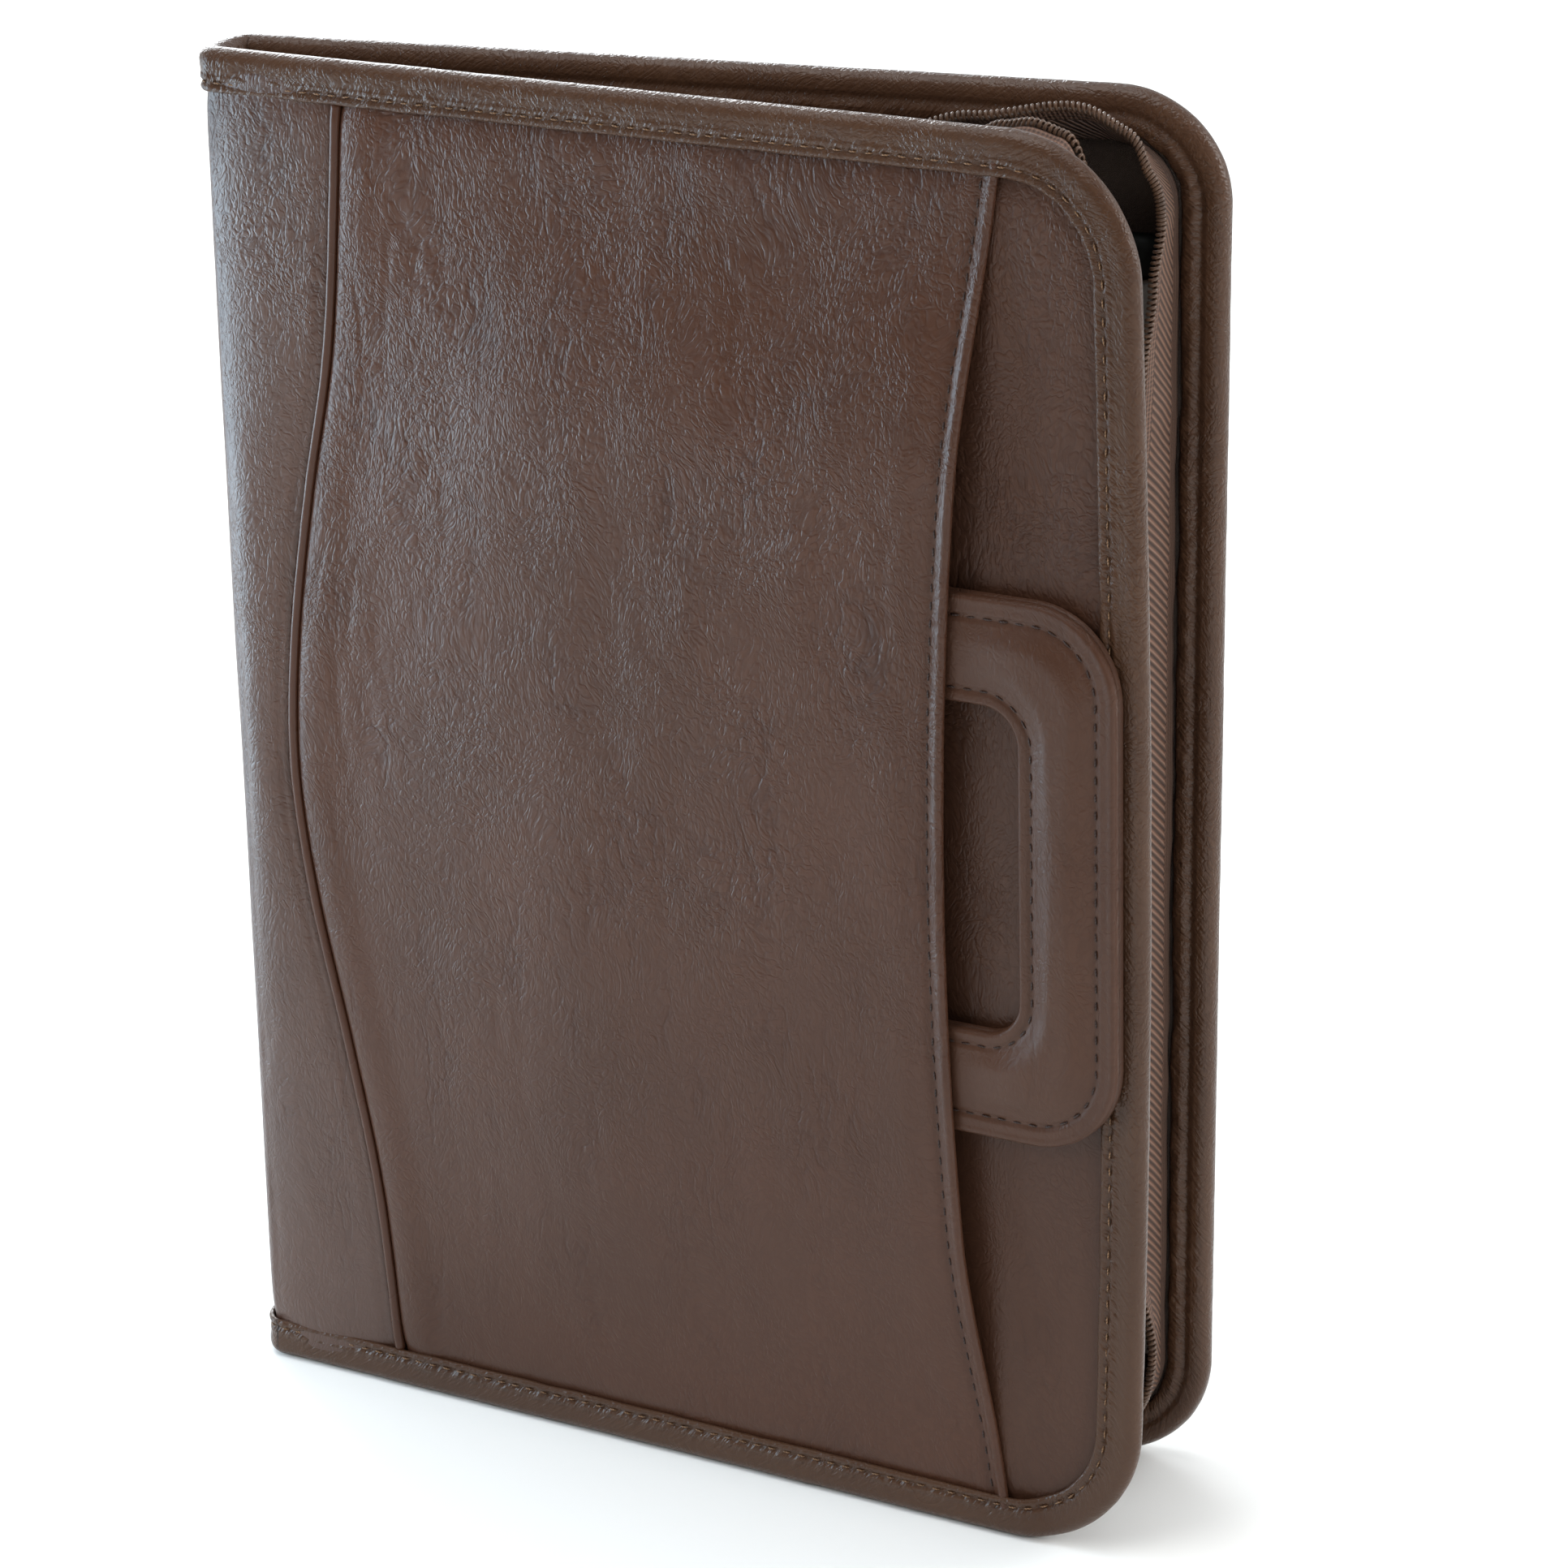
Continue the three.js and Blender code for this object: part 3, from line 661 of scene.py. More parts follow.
def tape_material(name, colour, deep):
    """Zip tape: a cord edge by the coil, broad slanting ribs, and a fine herringbone by the sewn side, its
    lows darkened by painted shade.
    """
    n = Nodes(name)
    along, across, _ = n.told("woven")

    def within(low, high, strength):
        inside = n.product(n.maths("GREATER_THAN", across, low), n.maths("LESS_THAN", across, high))
        return n.product(inside, strength)

    broad = n.wave(n.maths("SUBTRACT", along, n.product(across, 0.9)), 2.2)
    fine = n.wave(n.total(along, n.product(across, 1.3)), 1.1)
    twisted = n.total(fine, n.product(n.wave(across, 1.6), 0.4))
    corded = n.total(n.wave(across, 1.15), n.product(n.wave(along, 1.1), 0.6))
    height = n.total(
        n.product(corded, within(-1.0, TAPE_CORD, 0.6)),
        n.product(broad, within(TAPE_CORD, TAPE_RIBS, 1.0)),
        n.product(twisted, within(TAPE_RIBS, 99.0, 0.8)),
    )
    # Painted shade: the colour follows the relief, darkest in its lows.
    share = n.span(height, -1.0, 0.8)
    return n.finish(n.blend(share, deep, colour), n.span(height, -1.0, 1.0, 0.75, 0.45), height, 0.0003)


def plain_material(name, light, dark, rough, scale=0.4, metallic=0.0):
    """A hard or paper finish with faint clouding."""
    n = Nodes(name)
    cloud = n.noise(n.millimetres(), scale, 3.0)
    n.shader.inputs["Metallic"].default_value = metallic
    gloss = n.span(cloud, 0.3, 0.7, rough + 0.05, rough - 0.05)
    return n.finish(n.blend(n.span(cloud, 0.3, 0.7), dark, light), gloss, cloud, 0.0002, 0.15)


def paper_material(name):
    """Ruled paper, its lines level across the sheet."""
    n = Nodes(name)
    milli = n.millimetres()
    line = n.maths("PINGPONG", n.parts(milli)[2], LINE_PITCH / 2)
    ruled = n.product(n.span(line, 0.0, 0.35, 1.0, 0.0), 0.6)
    fibre = n.noise(milli, 0.8, 3.0)
    paper = n.blend(n.span(fibre, 0.3, 0.7), tone(186, 183, 175), tone(201, 198, 190))
    return n.finish(n.blend(ruled, paper, tone(120, 128, 140)), n.span(fibre, 0.3, 0.7, 0.8, 0.9))


# Each leather's third colour is the painted shade blended into its creases and folds.
case_leather = leather_material("case_leather", tone(75, 48, 35), tone(67, 43, 31), tone(50, 28, 19))
# The same leather as case_leather with a slightly lighter, greyer base, which is painted sheen; its higher
# shine is real specular.
wall_leather_painted_sheen = leather_material(
    "wall_leather_painted_sheen", tone(76, 50, 38), tone(68, 45, 34), tone(50, 29, 21), rough=0.38, shine=0.52
)
base_leather = leather_material(
    "base_leather", tone(72, 47, 34), tone(64, 41, 30), tone(46, 26, 18), 0.95, 0.7, 0.4
)
edge_leather = leather_material(
    "edge_leather", tone(74, 51, 36), tone(66, 45, 32), tone(50, 31, 22), 0.85, 0.3, 0.3, 0.9, True
)
bead_leather = leather_material(
    "bead_leather", tone(72, 44, 31), tone(64, 39, 27), tone(48, 28, 19), 0.15, 0.0, 0.26, 0.9
)
handle_leather = leather_material(
    "handle_leather", tone(74, 49, 36), tone(67, 43, 31), tone(48, 28, 19), 0.6, 0.6, 0.42
)
# Painted shade: the pocket hem, seam and handle stitches get a much darker colour than the binding's tan
# thread, for the dark gaps they sit in.
shaded_thread = thread_material("shaded_thread", tone(52, 33, 25), tone(26, 16, 12))
tan_thread = thread_material("tan_thread", tone(128, 97, 68), tone(78, 55, 38))
lining_cloth = cloth_material("lining_cloth", tone(86, 73, 65), tone(66, 55, 48))
tape_cloth = tape_material("tape_cloth", tone(116, 86, 70), tone(50, 34, 27))
coil_nylon = plain_material("coil_nylon", tone(92, 68, 52), tone(66, 48, 36), 0.38)
slider_metal = plain_material("slider_metal", tone(150, 128, 104), tone(120, 100, 80), 0.35, 0.5, 1.0)
pad_paper = paper_material("pad_paper")
header_card = plain_material("header_card", tone(26, 33, 31), tone(18, 24, 23), 0.6)


# Stitches

THREAD_SIDES = 6


def capsule():
    """A short thread, thick in the middle and sunk at its ends; x along, y across, z up."""
    xs = np.array([-1.0, -0.82, -0.4, 0.4, 0.82, 1.0])
    size = np.array([0.05, 0.6, 1.0, 1.0, 0.6, 0.05])
    lift = np.array([-0.9, -0.35, 0.0, 0.0, -0.35, -0.9])
    angles = np.linspace(0, 2 * math.pi, THREAD_SIDES, endpoint=False)
    points = np.zeros((len(xs), THREAD_SIDES, 3))
    points[..., 0] = xs[:, None]
    points[..., 1] = size[:, None] * np.cos(angles)
    points[..., 2] = size[:, None] * np.sin(angles) + lift[:, None]
    faces = grid_faces(len(xs), THREAD_SIDES, closed_rows=True)
    # Each end's six corners are closed by two quads.
    ends = np.array([[0, 5, 4, 3], [3, 2, 1, 0]])
    last = (len(xs) - 1) * THREAD_SIDES
    return points.reshape(-1, 3), np.concatenate([faces, ends, ends[:, ::-1] + last])


def stitch_row(path, up, length, half_width, seed):
    """Threads at even steps along a line of places; up is the leather's outward direction at each place."""
    way = np.concatenate([[0], np.cumsum(np.linalg.norm(np.diff(path, axis=0), axis=1))])
    count = int(way[-1] / STITCH_PITCH)
    at = (np.arange(count) + 0.5) * way[-1] / count

    def along_way(values, spots):
        return np.stack([np.interp(spots, way, values[:, i]) for i in range(3)], -1)

    centre = along_way(path, at)
    along = unit(along_way(path, at + 0.6) - along_way(path, at - 0.6))
    side = unit(np.cross(along_way(up, at), along))
    high = np.cross(along, side)
    tilt = np.random.default_rng(seed).normal(0, 0.06, count)[:, None]
    along = along + side * tilt
    template, faces = capsule()
    x, y, z = (template[:, i][None, :, None] for i in range(3))
    points = centre[:, None] + along[:, None] * x * length / 2
    points = points + (side[:, None] * y + high[:, None] * z) * half_width
    shift_by = np.arange(count)[:, None, None] * len(template)
    ply = np.broadcast_to(template * (length / 2, 1, 1), points.shape)
    return points.reshape(-1, 3), (faces[None] + shift_by).reshape(-1, 4), ply.reshape(-1, 3)


def stitch_piece(name, rows, material, body="case"):
    """One piece of all the threads in some rows."""
    points, faces, plies = zip(*rows)
    starts = np.cumsum([0] + [len(one) for one in points])
    faces = [quads + start for quads, start in zip(faces, starts)]
    mesh = raw_mesh(name, np.concatenate(points), np.concatenate(faces))
    tell(piece(mesh, material, (), body), "ply", np.concatenate(plies))


def facing(path, x=0.0, y=-1.0):
    """The same level direction at every place of a path."""
    return np.broadcast_to([x, y, 0.0], path.shape)


# The walls of the case


def pillow(cover, s, z, height, reach=4.0):
    """The soft rise of a padded cover from under its binding."""
    inside = np.clip(edge_distance(cover, s, z) - FLANGE_EDGE, 0, None)
    return height * (1 - np.exp(-inside / reach))


def wear(s, z, seed, size=1.0):
    """Shallow upright wrinkles and soft hollows of leather over a board."""
    bent = s + 5 * noise(s / 40, z / 34, seed)
    lines = crease(noise(bent / 8.5, z / 46, seed + 1), 0.16)
    short = crease(noise(bent / 6 + 0.35 * noise(s / 9, z / 11, seed + 2), z / 20, seed + 3), 0.14)
    patch = eased((noise(s / 30, z / 60, seed + 4) + 0.25) / 0.7)
    broad = 0.22 * noise(s / 26, z / 70, seed + 5) + 0.1 * noise(s / 11, z / 24, seed + 6)
    return size * (broad - patch * (0.2 * lines + 0.14 * short))


def uneven(low, high, count, dense_low=0.0, dense_high=0.0):
    """Steps from low to high, closer together near an end that asks for it."""
    t = np.linspace(0, 1, count)
    density = 1 + dense_low * np.exp(-t / 0.04) + dense_high * np.exp(-(1 - t) / 0.04)
    way = np.concatenate([[0], np.cumsum((density[1:] + density[:-1]) / 2)])
    share = np.interp(np.linspace(0, way[-1], count), way, t)
    return low + (high - low) * share


def case_shell():
    rows = uneven(EDGE_INSET, COVER_HEIGHT - EDGE_INSET, 170, 1.5, 1.5)
    corner = corner_columns(BACK, 26)
    back = np.concatenate([np.linspace(0, corner[0], 92)[:-1], corner])
    spine = np.linspace(0, SPINE_ARC, 26)[1:-1]
    strip = uneven(1, 0, 26, 3.0)
    back_z = rows_of_column(BACK, back, rows)
    strip_z = np.broadcast_to(rows, (len(strip), len(rows)))
    strip_run = -strip[:, None] * (seam_at(strip_z) - BEAD_RADIUS - 0.05)
    spine_z = np.broadcast_to(rows, (len(spine), len(rows)))
    run = np.concatenate([strip_run, spine[:, None] + 0 * spine_z, SPINE_ARC + back[:, None] + 0 * back_z])
    z = np.concatenate([strip_z, spine_z, back_z])
    away = np.where(run < 0, -run, np.where(run > SPINE_ARC, run - SPINE_ARC, 0))
    rise = pillow(BACK, away, z, 0.8)
    to_seam = np.where(run < 0, seam_at(z) - BEAD_RADIUS + run, 99)
    rise -= 0.75 * np.exp(-np.clip(to_seam, 0, None) / 1.3)
    rise -= 0.25 * bump(to_seam - 2.2, 1.2)
    on_strip = np.clip(-run / np.maximum(seam_at(z), 1), 0, 1)
    rise += np.where(run < 0, 1.5 * np.sin(math.pi * on_strip**0.7), 0)
    rise -= 0.5 * np.exp(-((run - SPINE_ARC / 2) / (SPINE_ARC * 0.36)) ** 2)
    inside = np.clip((edge_distance(BACK, away, z) - FLANGE_EDGE) / 14, 0, 1)
    calm = np.where((run > 0) & (run < SPINE_ARC), 0.6, 1.0) * (0.35 + 0.65 * inside)
    rise += wear(run + 300, z, 31, 1.5) * calm
    outer = on_case(run, z, rise)
    inner = on_case(run, z, -SHELL_WALL)
    skin = wall_mesh("case_shell_skin", outer, inner)
    piece(skin, wall_leather_painted_sheen, ["case_shell"])


def front_panel():
    rows = uneven(EDGE_INSET, COVER_HEIGHT - EDGE_INSET, 170, 1.5, 1.5)
    corner = corner_columns(FRONT, 30)
    open_part = np.concatenate([np.linspace(PANEL_SHOWN, corner[0], 26)[:-1], corner])
    covered = np.array([0.0, 0.33, 0.66])
    seam = seam_at(rows)[None, :] - BEAD_RADIUS
    hidden = seam + covered[:, None] * (PANEL_SHOWN - seam)
    s = np.concatenate([hidden, open_part[:, None] + 0 * rows[None, :]])
    z = np.concatenate([np.broadcast_to(rows, hidden.shape), rows_of_column(FRONT, open_part, rows)])
    shown = eased((s - PANEL_SHOWN) / 10)
    past_handle = np.clip(np.abs(z - HANDLE_MIDDLE) - HANDLE_HEIGHT / 2, 0, None)
    under = bump(past_handle, 12)
    folds = wear(s + 11, z, 57, 0.6) * (1 - 0.5 * under)
    # The handle draws the leather into short level wrinkles just above it.
    above = bump(z - HANDLE_MIDDLE - HANDLE_HEIGHT / 2 - 9, 16)
    drawn = crease(noise(s / 7 + 1.5 * noise(s / 11, z / 9, 23), z / 2.6, 24), 0.3)
    folds = folds - 0.3 * above * drawn
    rise = shown * (pillow(FRONT, s, z, 0.9) * (1 - 0.3 * under) + folds)
    outer = on_front(s, z, PANEL_FACE + rise)
    inner = on_front(s, z, -SHELL_WALL)
    skin = wall_mesh("front_panel_skin", outer, inner)
    piece(skin, base_leather, ["front_panel"])


def pocket_level(s, z):
    """The pocket leather's outer face, between its seam and the turned mouth."""
    edge = seam_at(z) + BEAD_RADIUS + 0.1
    mouth = mouth_at(z)
    from_seam = s - edge
    level = POCKET_FACE + pocket_rise(s, z)
    level += pillow(FRONT, s, z, 1.3, 3.2) * (1 - 0.6 * eased((s - mouth + 14) / 12))
    level -= 1.1 * np.exp(-np.clip(from_seam, 0, None) / 1.1)
    level += 0.5 * bump(from_seam - 6, 8)
    to_mouth = mouth - s
    level -= 0.42 * bump(to_mouth - MOUTH_STITCH, 1.1)
    level += 0.12 * bump(to_mouth - 6.5, 3)
    calm = eased((to_mouth - 5) / 10) * eased(from_seam / 9)
    calm = calm * eased((edge_distance(FRONT, s, z) - FLANGE_EDGE) / 8)
    high = 0.55 + 0.75 * eased((z - 60) / 180)
    level += wear(s, z, 5, 1.4) * calm * high
    return level


def front_pocket():
    rows = uneven(OPEN_EDGE - 3.5, COVER_HEIGHT - OPEN_EDGE + 3.5, 250, 0.6, 0.6)
    share = uneven(0, 1, 128, 3.5, 1.5)
    seam = seam_at(rows) + BEAD_RADIUS + 0.1
    start_of_hem = mouth_at(rows) - HEM_WIDTH
    s = seam[None, :] + share[:, None] * (start_of_hem - seam)[None, :]
    z = np.broadcast_to(rows, s.shape)
    level = pocket_level(s, z)
    outer = on_front(s, z, level)
    inner = on_front(s, z, POCKET_FACE - LEATHER + pocket_rise(s, z))
    # The turned hem goes round a fold and back under the leather.
    turns = np.linspace(0, math.pi, 15)
    base = pocket_level(start_of_hem, rows)
    floor = POCKET_FACE - LEATHER + pocket_rise(mouth_at(rows) - HEM_WIDTH / 2, rows)
    top_of_hem = floor + 2 * HEM_HALF
    ripple = 0.05 * noise(rows / 2.1, 0.5, 3) + 0.1 * noise(rows / 12, 0.2, 8)
    across, up = [], []
    for t in np.linspace(0.15, 1, 5):
        across.append(start_of_hem + (HEM_WIDTH - HEM_HALF) * t)
        up.append(base + (top_of_hem - base) * eased(t * 1.15) + ripple)
    for turn in turns[1:]:
        across.append(mouth_at(rows) - HEM_HALF + HEM_HALF * np.sin(turn))
        up.append(floor + HEM_HALF + HEM_HALF * np.cos(turn) + ripple * np.cos(turn / 2))
    hem_s, hem_d = np.array(across), np.array(up)
    hem_outer = on_front(hem_s, np.broadcast_to(rows, hem_s.shape), hem_d)
    back_s = np.stack([start_of_hem + (HEM_WIDTH - HEM_HALF) * t for t in (0.7, 0.3)])
    back_outer = on_front(back_s, np.broadcast_to(rows, back_s.shape), floor[None, :])
    profile = np.concatenate([outer, hem_outer, back_outer, inner[::-1]])
    rings = np.swapaxes(profile, 0, 1)
    skin = loft_mesh("pocket_skin", rings, False)
    piece(skin, case_leather, ["front_pocket", "pocket_hem"])
    path_s = mouth_at(rows) - MOUTH_STITCH
    path = on_front(path_s, rows, pocket_level(path_s, rows) + 0.12)
    path = path[(rows > OPEN_EDGE) & (rows < COVER_HEIGHT - OPEN_EDGE)]
    row = stitch_row(path, facing(path), 2.4, 0.26, 2)
    stitch_piece("pocket_stitches", [row], shaded_thread)


def seam_piping():
    rows = np.linspace(OPEN_EDGE - 0.4, COVER_HEIGHT - OPEN_EDGE + 0.4, 420)
    angles = np.linspace(0, 2 * math.pi, 18, endpoint=False)
    near_end = 1 - eased((np.minimum(rows, COVER_HEIGHT - rows) - OPEN_EDGE) / 4)
    wobble = 0.05 * noise(rows / 6, 0.3, 4) + 0.03 * noise(rows / 1.7, 0.6, 9)
    centre = seam_at(rows) + 0.12 * noise(rows / 30, 0.5, 12)
    radius = (BEAD_RADIUS + 0.12 + wobble)[:, None]
    s = centre[:, None] + radius * np.cos(angles)[None, :]
    d = PANEL_FACE + 0.3 + BEAD_RADIUS + radius * np.sin(angles)[None, :] - 0.35 * near_end[:, None]
    bead = loft_mesh("seam_bead", on_front(s, rows[:, None], d), False)
    piece(bead, bead_leather, ["seam_piping"])
    path = on_front(seam_at(rows) - BEAD_RADIUS - 0.35, rows, -0.45)
    row = stitch_row(path, facing(path, -0.35, -0.94), 2.6, 0.24, 3)
    stitch_piece("seam_stitches", [row], shaded_thread)


# The binding

# What the strip's value says inside the channel, where no gathers are
HIDDEN = -9

OUTER_PROFILE = [
    # distance in from the outline, height over the flange's face
    (10.2, -1.05),
    (10.45, -0.6),
    (10.4, -0.2),
    (10.15, 0.12),
    (9.75, 0.26),
    (9.3, 0.2),
    (8.85, -0.08),
    (8.45, -0.42),
    (8.1, -0.5),
    (7.75, -0.3),
    (7.35, 0.0),
    (6.9, 0.1),
    (6.4, 0.0),
    (5.9, -0.06),
    (5.4, 0.05),
    (4.8, 0.17),
    (4.1, 0.26),
]

INNER_PROFILE = [
    # the same for the side between the covers, whose loose flange stands off past a groove
    (4.1, 0.45),
    (4.9, 0.2),
    (5.6, -0.25),
    (6.2, -0.45),
    (6.8, -0.1),
    (7.5, 0.35),
    (8.4, 0.5),
    (9.3, 0.4),
    (10.1, 0.25),
    (10.5, -0.2),
    (10.3, -0.8),
]


Edge = namedtuple("Edge", "cover way s z out_s out_z")


def edge_path(cover, step):
    """A cover's outline from the top of the spine round to its bottom, with the direction out of it."""
    radius = cover.corner
    straight = cover.width - radius
    arc = radius * math.pi / 2
    fore = COVER_HEIGHT - 2 * radius
    total = 2 * straight + 2 * arc + fore
    way = np.linspace(0, total, int(total / step) + 1)
    turned = np.clip((way - straight) / radius, 0, math.pi / 2)
    turned += np.clip((way - straight - arc - fore) / radius, 0, math.pi / 2)
    out_s, out_z = np.sin(turned), np.cos(turned)
    centre_s = np.minimum(np.minimum(way, total - way), straight)
    centre_z = np.clip(COVER_HEIGHT - radius - (way - straight - arc), radius, COVER_HEIGHT - radius)
    return Edge(cover, way, centre_s + radius * out_s, centre_z + radius * out_z, out_s, out_z)


def from_edge(edge, k, d):
    """Places a distance k in from the outline and at height d, one or a row of them at each station."""
    s, z, out_s, out_z = (x[:, None] if np.ndim(k) == 2 else x for x in edge[2:])
    return edge.cover.place(s - k * out_s, z - k * out_z, d)


def gripped_on_front(s, z, out_s):
    past = eased((s - out_s * FLANGE_EDGE - mouth_at(z) - 1) / 8)
    base = POCKET_FACE * eased((s - 20) / 20)
    return base + (PANEL_FACE - base) * past


def gripped_on_back(s, z, out_s):
    return 0 * s


def binding_profile(gripped, way, seed, pleats):
    """The strip's whole outline at each station: distance in from the edge and height, with its gathers."""
    outer, inner = np.array(OUTER_PROFILE), np.array(INNER_PROFILE)
    outside = gripped + BINDING_RISE
    middle = (outside + FLANGE_INNER) / 2
    half = (outside - FLANGE_INNER) / 2 + 0.3
    angles = np.radians(np.linspace(84, -84, 13))
    w = way[:, None]

    def gathers(k, line, which):
        leaning = np.where(noise(w / 25, which, seed) > 0, 1, -1)
        small = noise(w / 1.7 + 0.4 * k * leaning, k / 6, seed + which)
        large = noise(w / 4.6 + 0.2 * k * leaning, k / 8, seed + which + 20)
        pull = bump(k - line + 0.5, 3.6)
        near = np.cos(2 * math.pi * w / STITCH_PITCH) * bump(k - line, 1.4)
        lively = 0.6 + 0.4 * noise(w / 28, 0.4 + which, seed + 5)
        return pull * lively * (0.34 * small + 0.24 * large) + 0.14 * near

    k_out = outer[:, 0][None, :]
    d_out = outside[:, None] + outer[:, 1][None, :] + gathers(k_out, STITCH_LINE, 0)
    k_out = k_out + 0.14 * noise(w / 7, k_out / 12, seed + 30) * eased((k_out - 8) / 2)
    lump = 1 + 0.02 * noise(w / 9, 0.5, seed + 7) + 0.014 * noise(w / 3.1, angles[None, :] * 1.5, seed + 8)
    k_roll = ROLL_HALF - ROLL_HALF * np.cos(angles)[None, :] * lump
    d_roll = middle[:, None] + half[:, None] * np.sin(angles)[None, :] * lump
    k_in = inner[:, 0][None, :]
    d_in = FLANGE_INNER - inner[:, 1][None, :] - 0.5 * gathers(k_in, INNER_GROOVE, 1)
    loose = eased((k_in - INNER_GROOVE) / 2)
    waves = 0.3 * noise(w / 3.4, k_in / 1.6, seed + 41) + 0.25 * noise(w / 9, k_in / 4, seed + 42)
    d_in = d_in - loose * waves
    pleat = np.clip(noise(w / 1.7, k_in / 15, seed + 40), 0, 1) * eased((k_in - 3) / 4)
    d_in = d_in - 1.3 * pleats[:, None] * pleat
    k_in = k_in + 0.4 * noise(w / 5.5, 0.3, seed + 43) * eased((k_in - 8) / 2)
    k_back = np.broadcast_to(np.array([10.0, CHANNEL, CHANNEL, 10.0]), (len(way), 4))
    low = FLANGE_INNER + LEATHER + 0 * way
    high = outside - LEATHER
    d_back = np.stack([low, low, high, high], -1)
    k = np.concatenate([k_out + 0 * w, k_roll, k_in + 0 * w, k_back], 1)
    d = np.concatenate([d_out, d_roll, d_in, d_back], 1)
    shown = np.arange(k.shape[1]) < k.shape[1] - 4
    strip = np.stack([way[:, None] + 0 * k, np.where(shown, k, HIDDEN), 0 * k], -1)
    return k, d, strip


def flange_face(gripped):
    """The level of the stitches on the outer flange."""
    return gripped + BINDING_RISE - 0.22


def cover_binding(cover, gripped_at, seed):
    edge = edge_path(cover, BINDING_STEP)
    gripped = gripped_at(edge.s, edge.z, edge.out_s)
    pleats = bump(edge.s, 14) * (edge.way < cover.width)
    k, d, strip = binding_profile(gripped, edge.way, seed, pleats)
    path = from_edge(edge, STITCH_LINE, flange_face(gripped))
    up = from_edge(edge, STITCH_LINE, flange_face(gripped) + 1) - path
    return from_edge(edge, k, d), strip, stitch_row(path, up, 2.2, 0.22, seed)


def spine_binding(bottom, seed):
    run = np.linspace(0, SPINE_ARC, int(SPINE_ARC / BINDING_STEP) + 1)[1:-1]
    k, d, strip = binding_profile(0 * run, run, seed, np.ones_like(run))
    rings = on_spine(run[:, None], k if bottom else COVER_HEIGHT - k, d)
    line = STITCH_LINE if bottom else COVER_HEIGHT - STITCH_LINE
    path = on_spine(run, line, flange_face(0))
    up = on_spine(run, line, flange_face(0) + 1) - path
    return rings, strip, stitch_row(path, up, 2.2, 0.22, seed)


def binding():
    """One strip round the front cover, under the spine, back round the back cover and over the spine."""
    front = cover_binding(FRONT, gripped_on_front, 61)
    low = spine_binding(True, 62)
    back = cover_binding(BACK, gripped_on_back, 63)
    high = spine_binding(False, 64)
    rings, strips = (np.concatenate([front[i], low[i], back[i][::-1], high[i][::-1]]) for i in (0, 1))
    nodes = ["binding_front", "binding_back", "binding_spine_top", "binding_spine_bottom"]
    made = piece(loft_mesh("binding_strip", rings, True), edge_leather, nodes)
    tell(made, "strip", strips)
    rows = [part[2] for part in (front, low, back, high)]
    stitch_piece("binding_stitches", rows, tan_thread)


def lining():
    rows = np.linspace(EDGE_INSET, COVER_HEIGHT - EDGE_INSET, 40)
    front_corner, back_corner = corner_columns(FRONT, 14), corner_columns(BACK, 14)
    front = np.concatenate([np.linspace(0, front_corner[0], 20)[1:-1], front_corner])[::-1]
    back = np.concatenate([np.linspace(0, back_corner[0], 20)[1:-1], back_corner])
    spine = np.linspace(0, SPINE_ARC, 20)
    spine_z = np.broadcast_to(rows, (len(spine), len(rows)))
    z = np.concatenate([rows_of_column(FRONT, front, rows), spine_z, rows_of_column(BACK, back, rows)])
    run = np.concatenate([-front, spine, SPINE_ARC + back])[:, None] + 0 * z
    outer = on_case(run, z, LINING_OUTER)
    inner = on_case(run, z, LINING_INNER + 0.15 * noise(run / 30, z / 40, 77))
    piece(wall_mesh("lining_cloth_wall", outer, inner), lining_cloth, ["lining"])


# The zip


Tape = namedtuple("Tape", "edge sewn bend free coil run")


def deepest_coil(s):
    """The lowest level a coil may take at s without meeting the other cover's."""
    half = OPENING / 2
    return (0.3 + COIL_HALF - s * math.sin(half)) / math.cos(half) - SPINE_RADIUS


def tape_cuts(cover, rows):
    """The tape's cut along the way: where it is sewn, where it bends, its free edge and its coil."""
    edge = edge_path(cover, ZIP_STEP)
    total = edge.way[-1]
    keep = (edge.way >= ZIP_START) & (edge.way <= total - ZIP_START)
    edge = Edge(cover, *(x[keep] for x in edge[1:]))
    share = (edge.way - ZIP_START) / (total - 2 * ZIP_START)
    lean = np.radians(from_table(rows, share, 1))
    stands = TAPE_WIDTH * from_table(rows, share, 2)
    beyond = COIL_GAP + COIL_HALF
    sewn = np.array([OPEN_EDGE + 0.9, LINING_INNER - 0.3 - 0.45]) + 0 * share[:, None]
    bend = sewn - np.stack([0 * share, np.minimum(TAPE_KNEE, stands / 3)], -1)
    towards = np.stack([-np.sin(lean), -np.cos(lean)], -1)
    coil = sewn + towards * (stands + beyond)[:, None]
    coil[:, 1] = np.maximum(coil[:, 1], deepest_coil(edge.s - coil[:, 0] * edge.out_s))
    run = unit(coil - bend)
    return Tape(edge, sewn, bend, coil - run * beyond, coil, run)


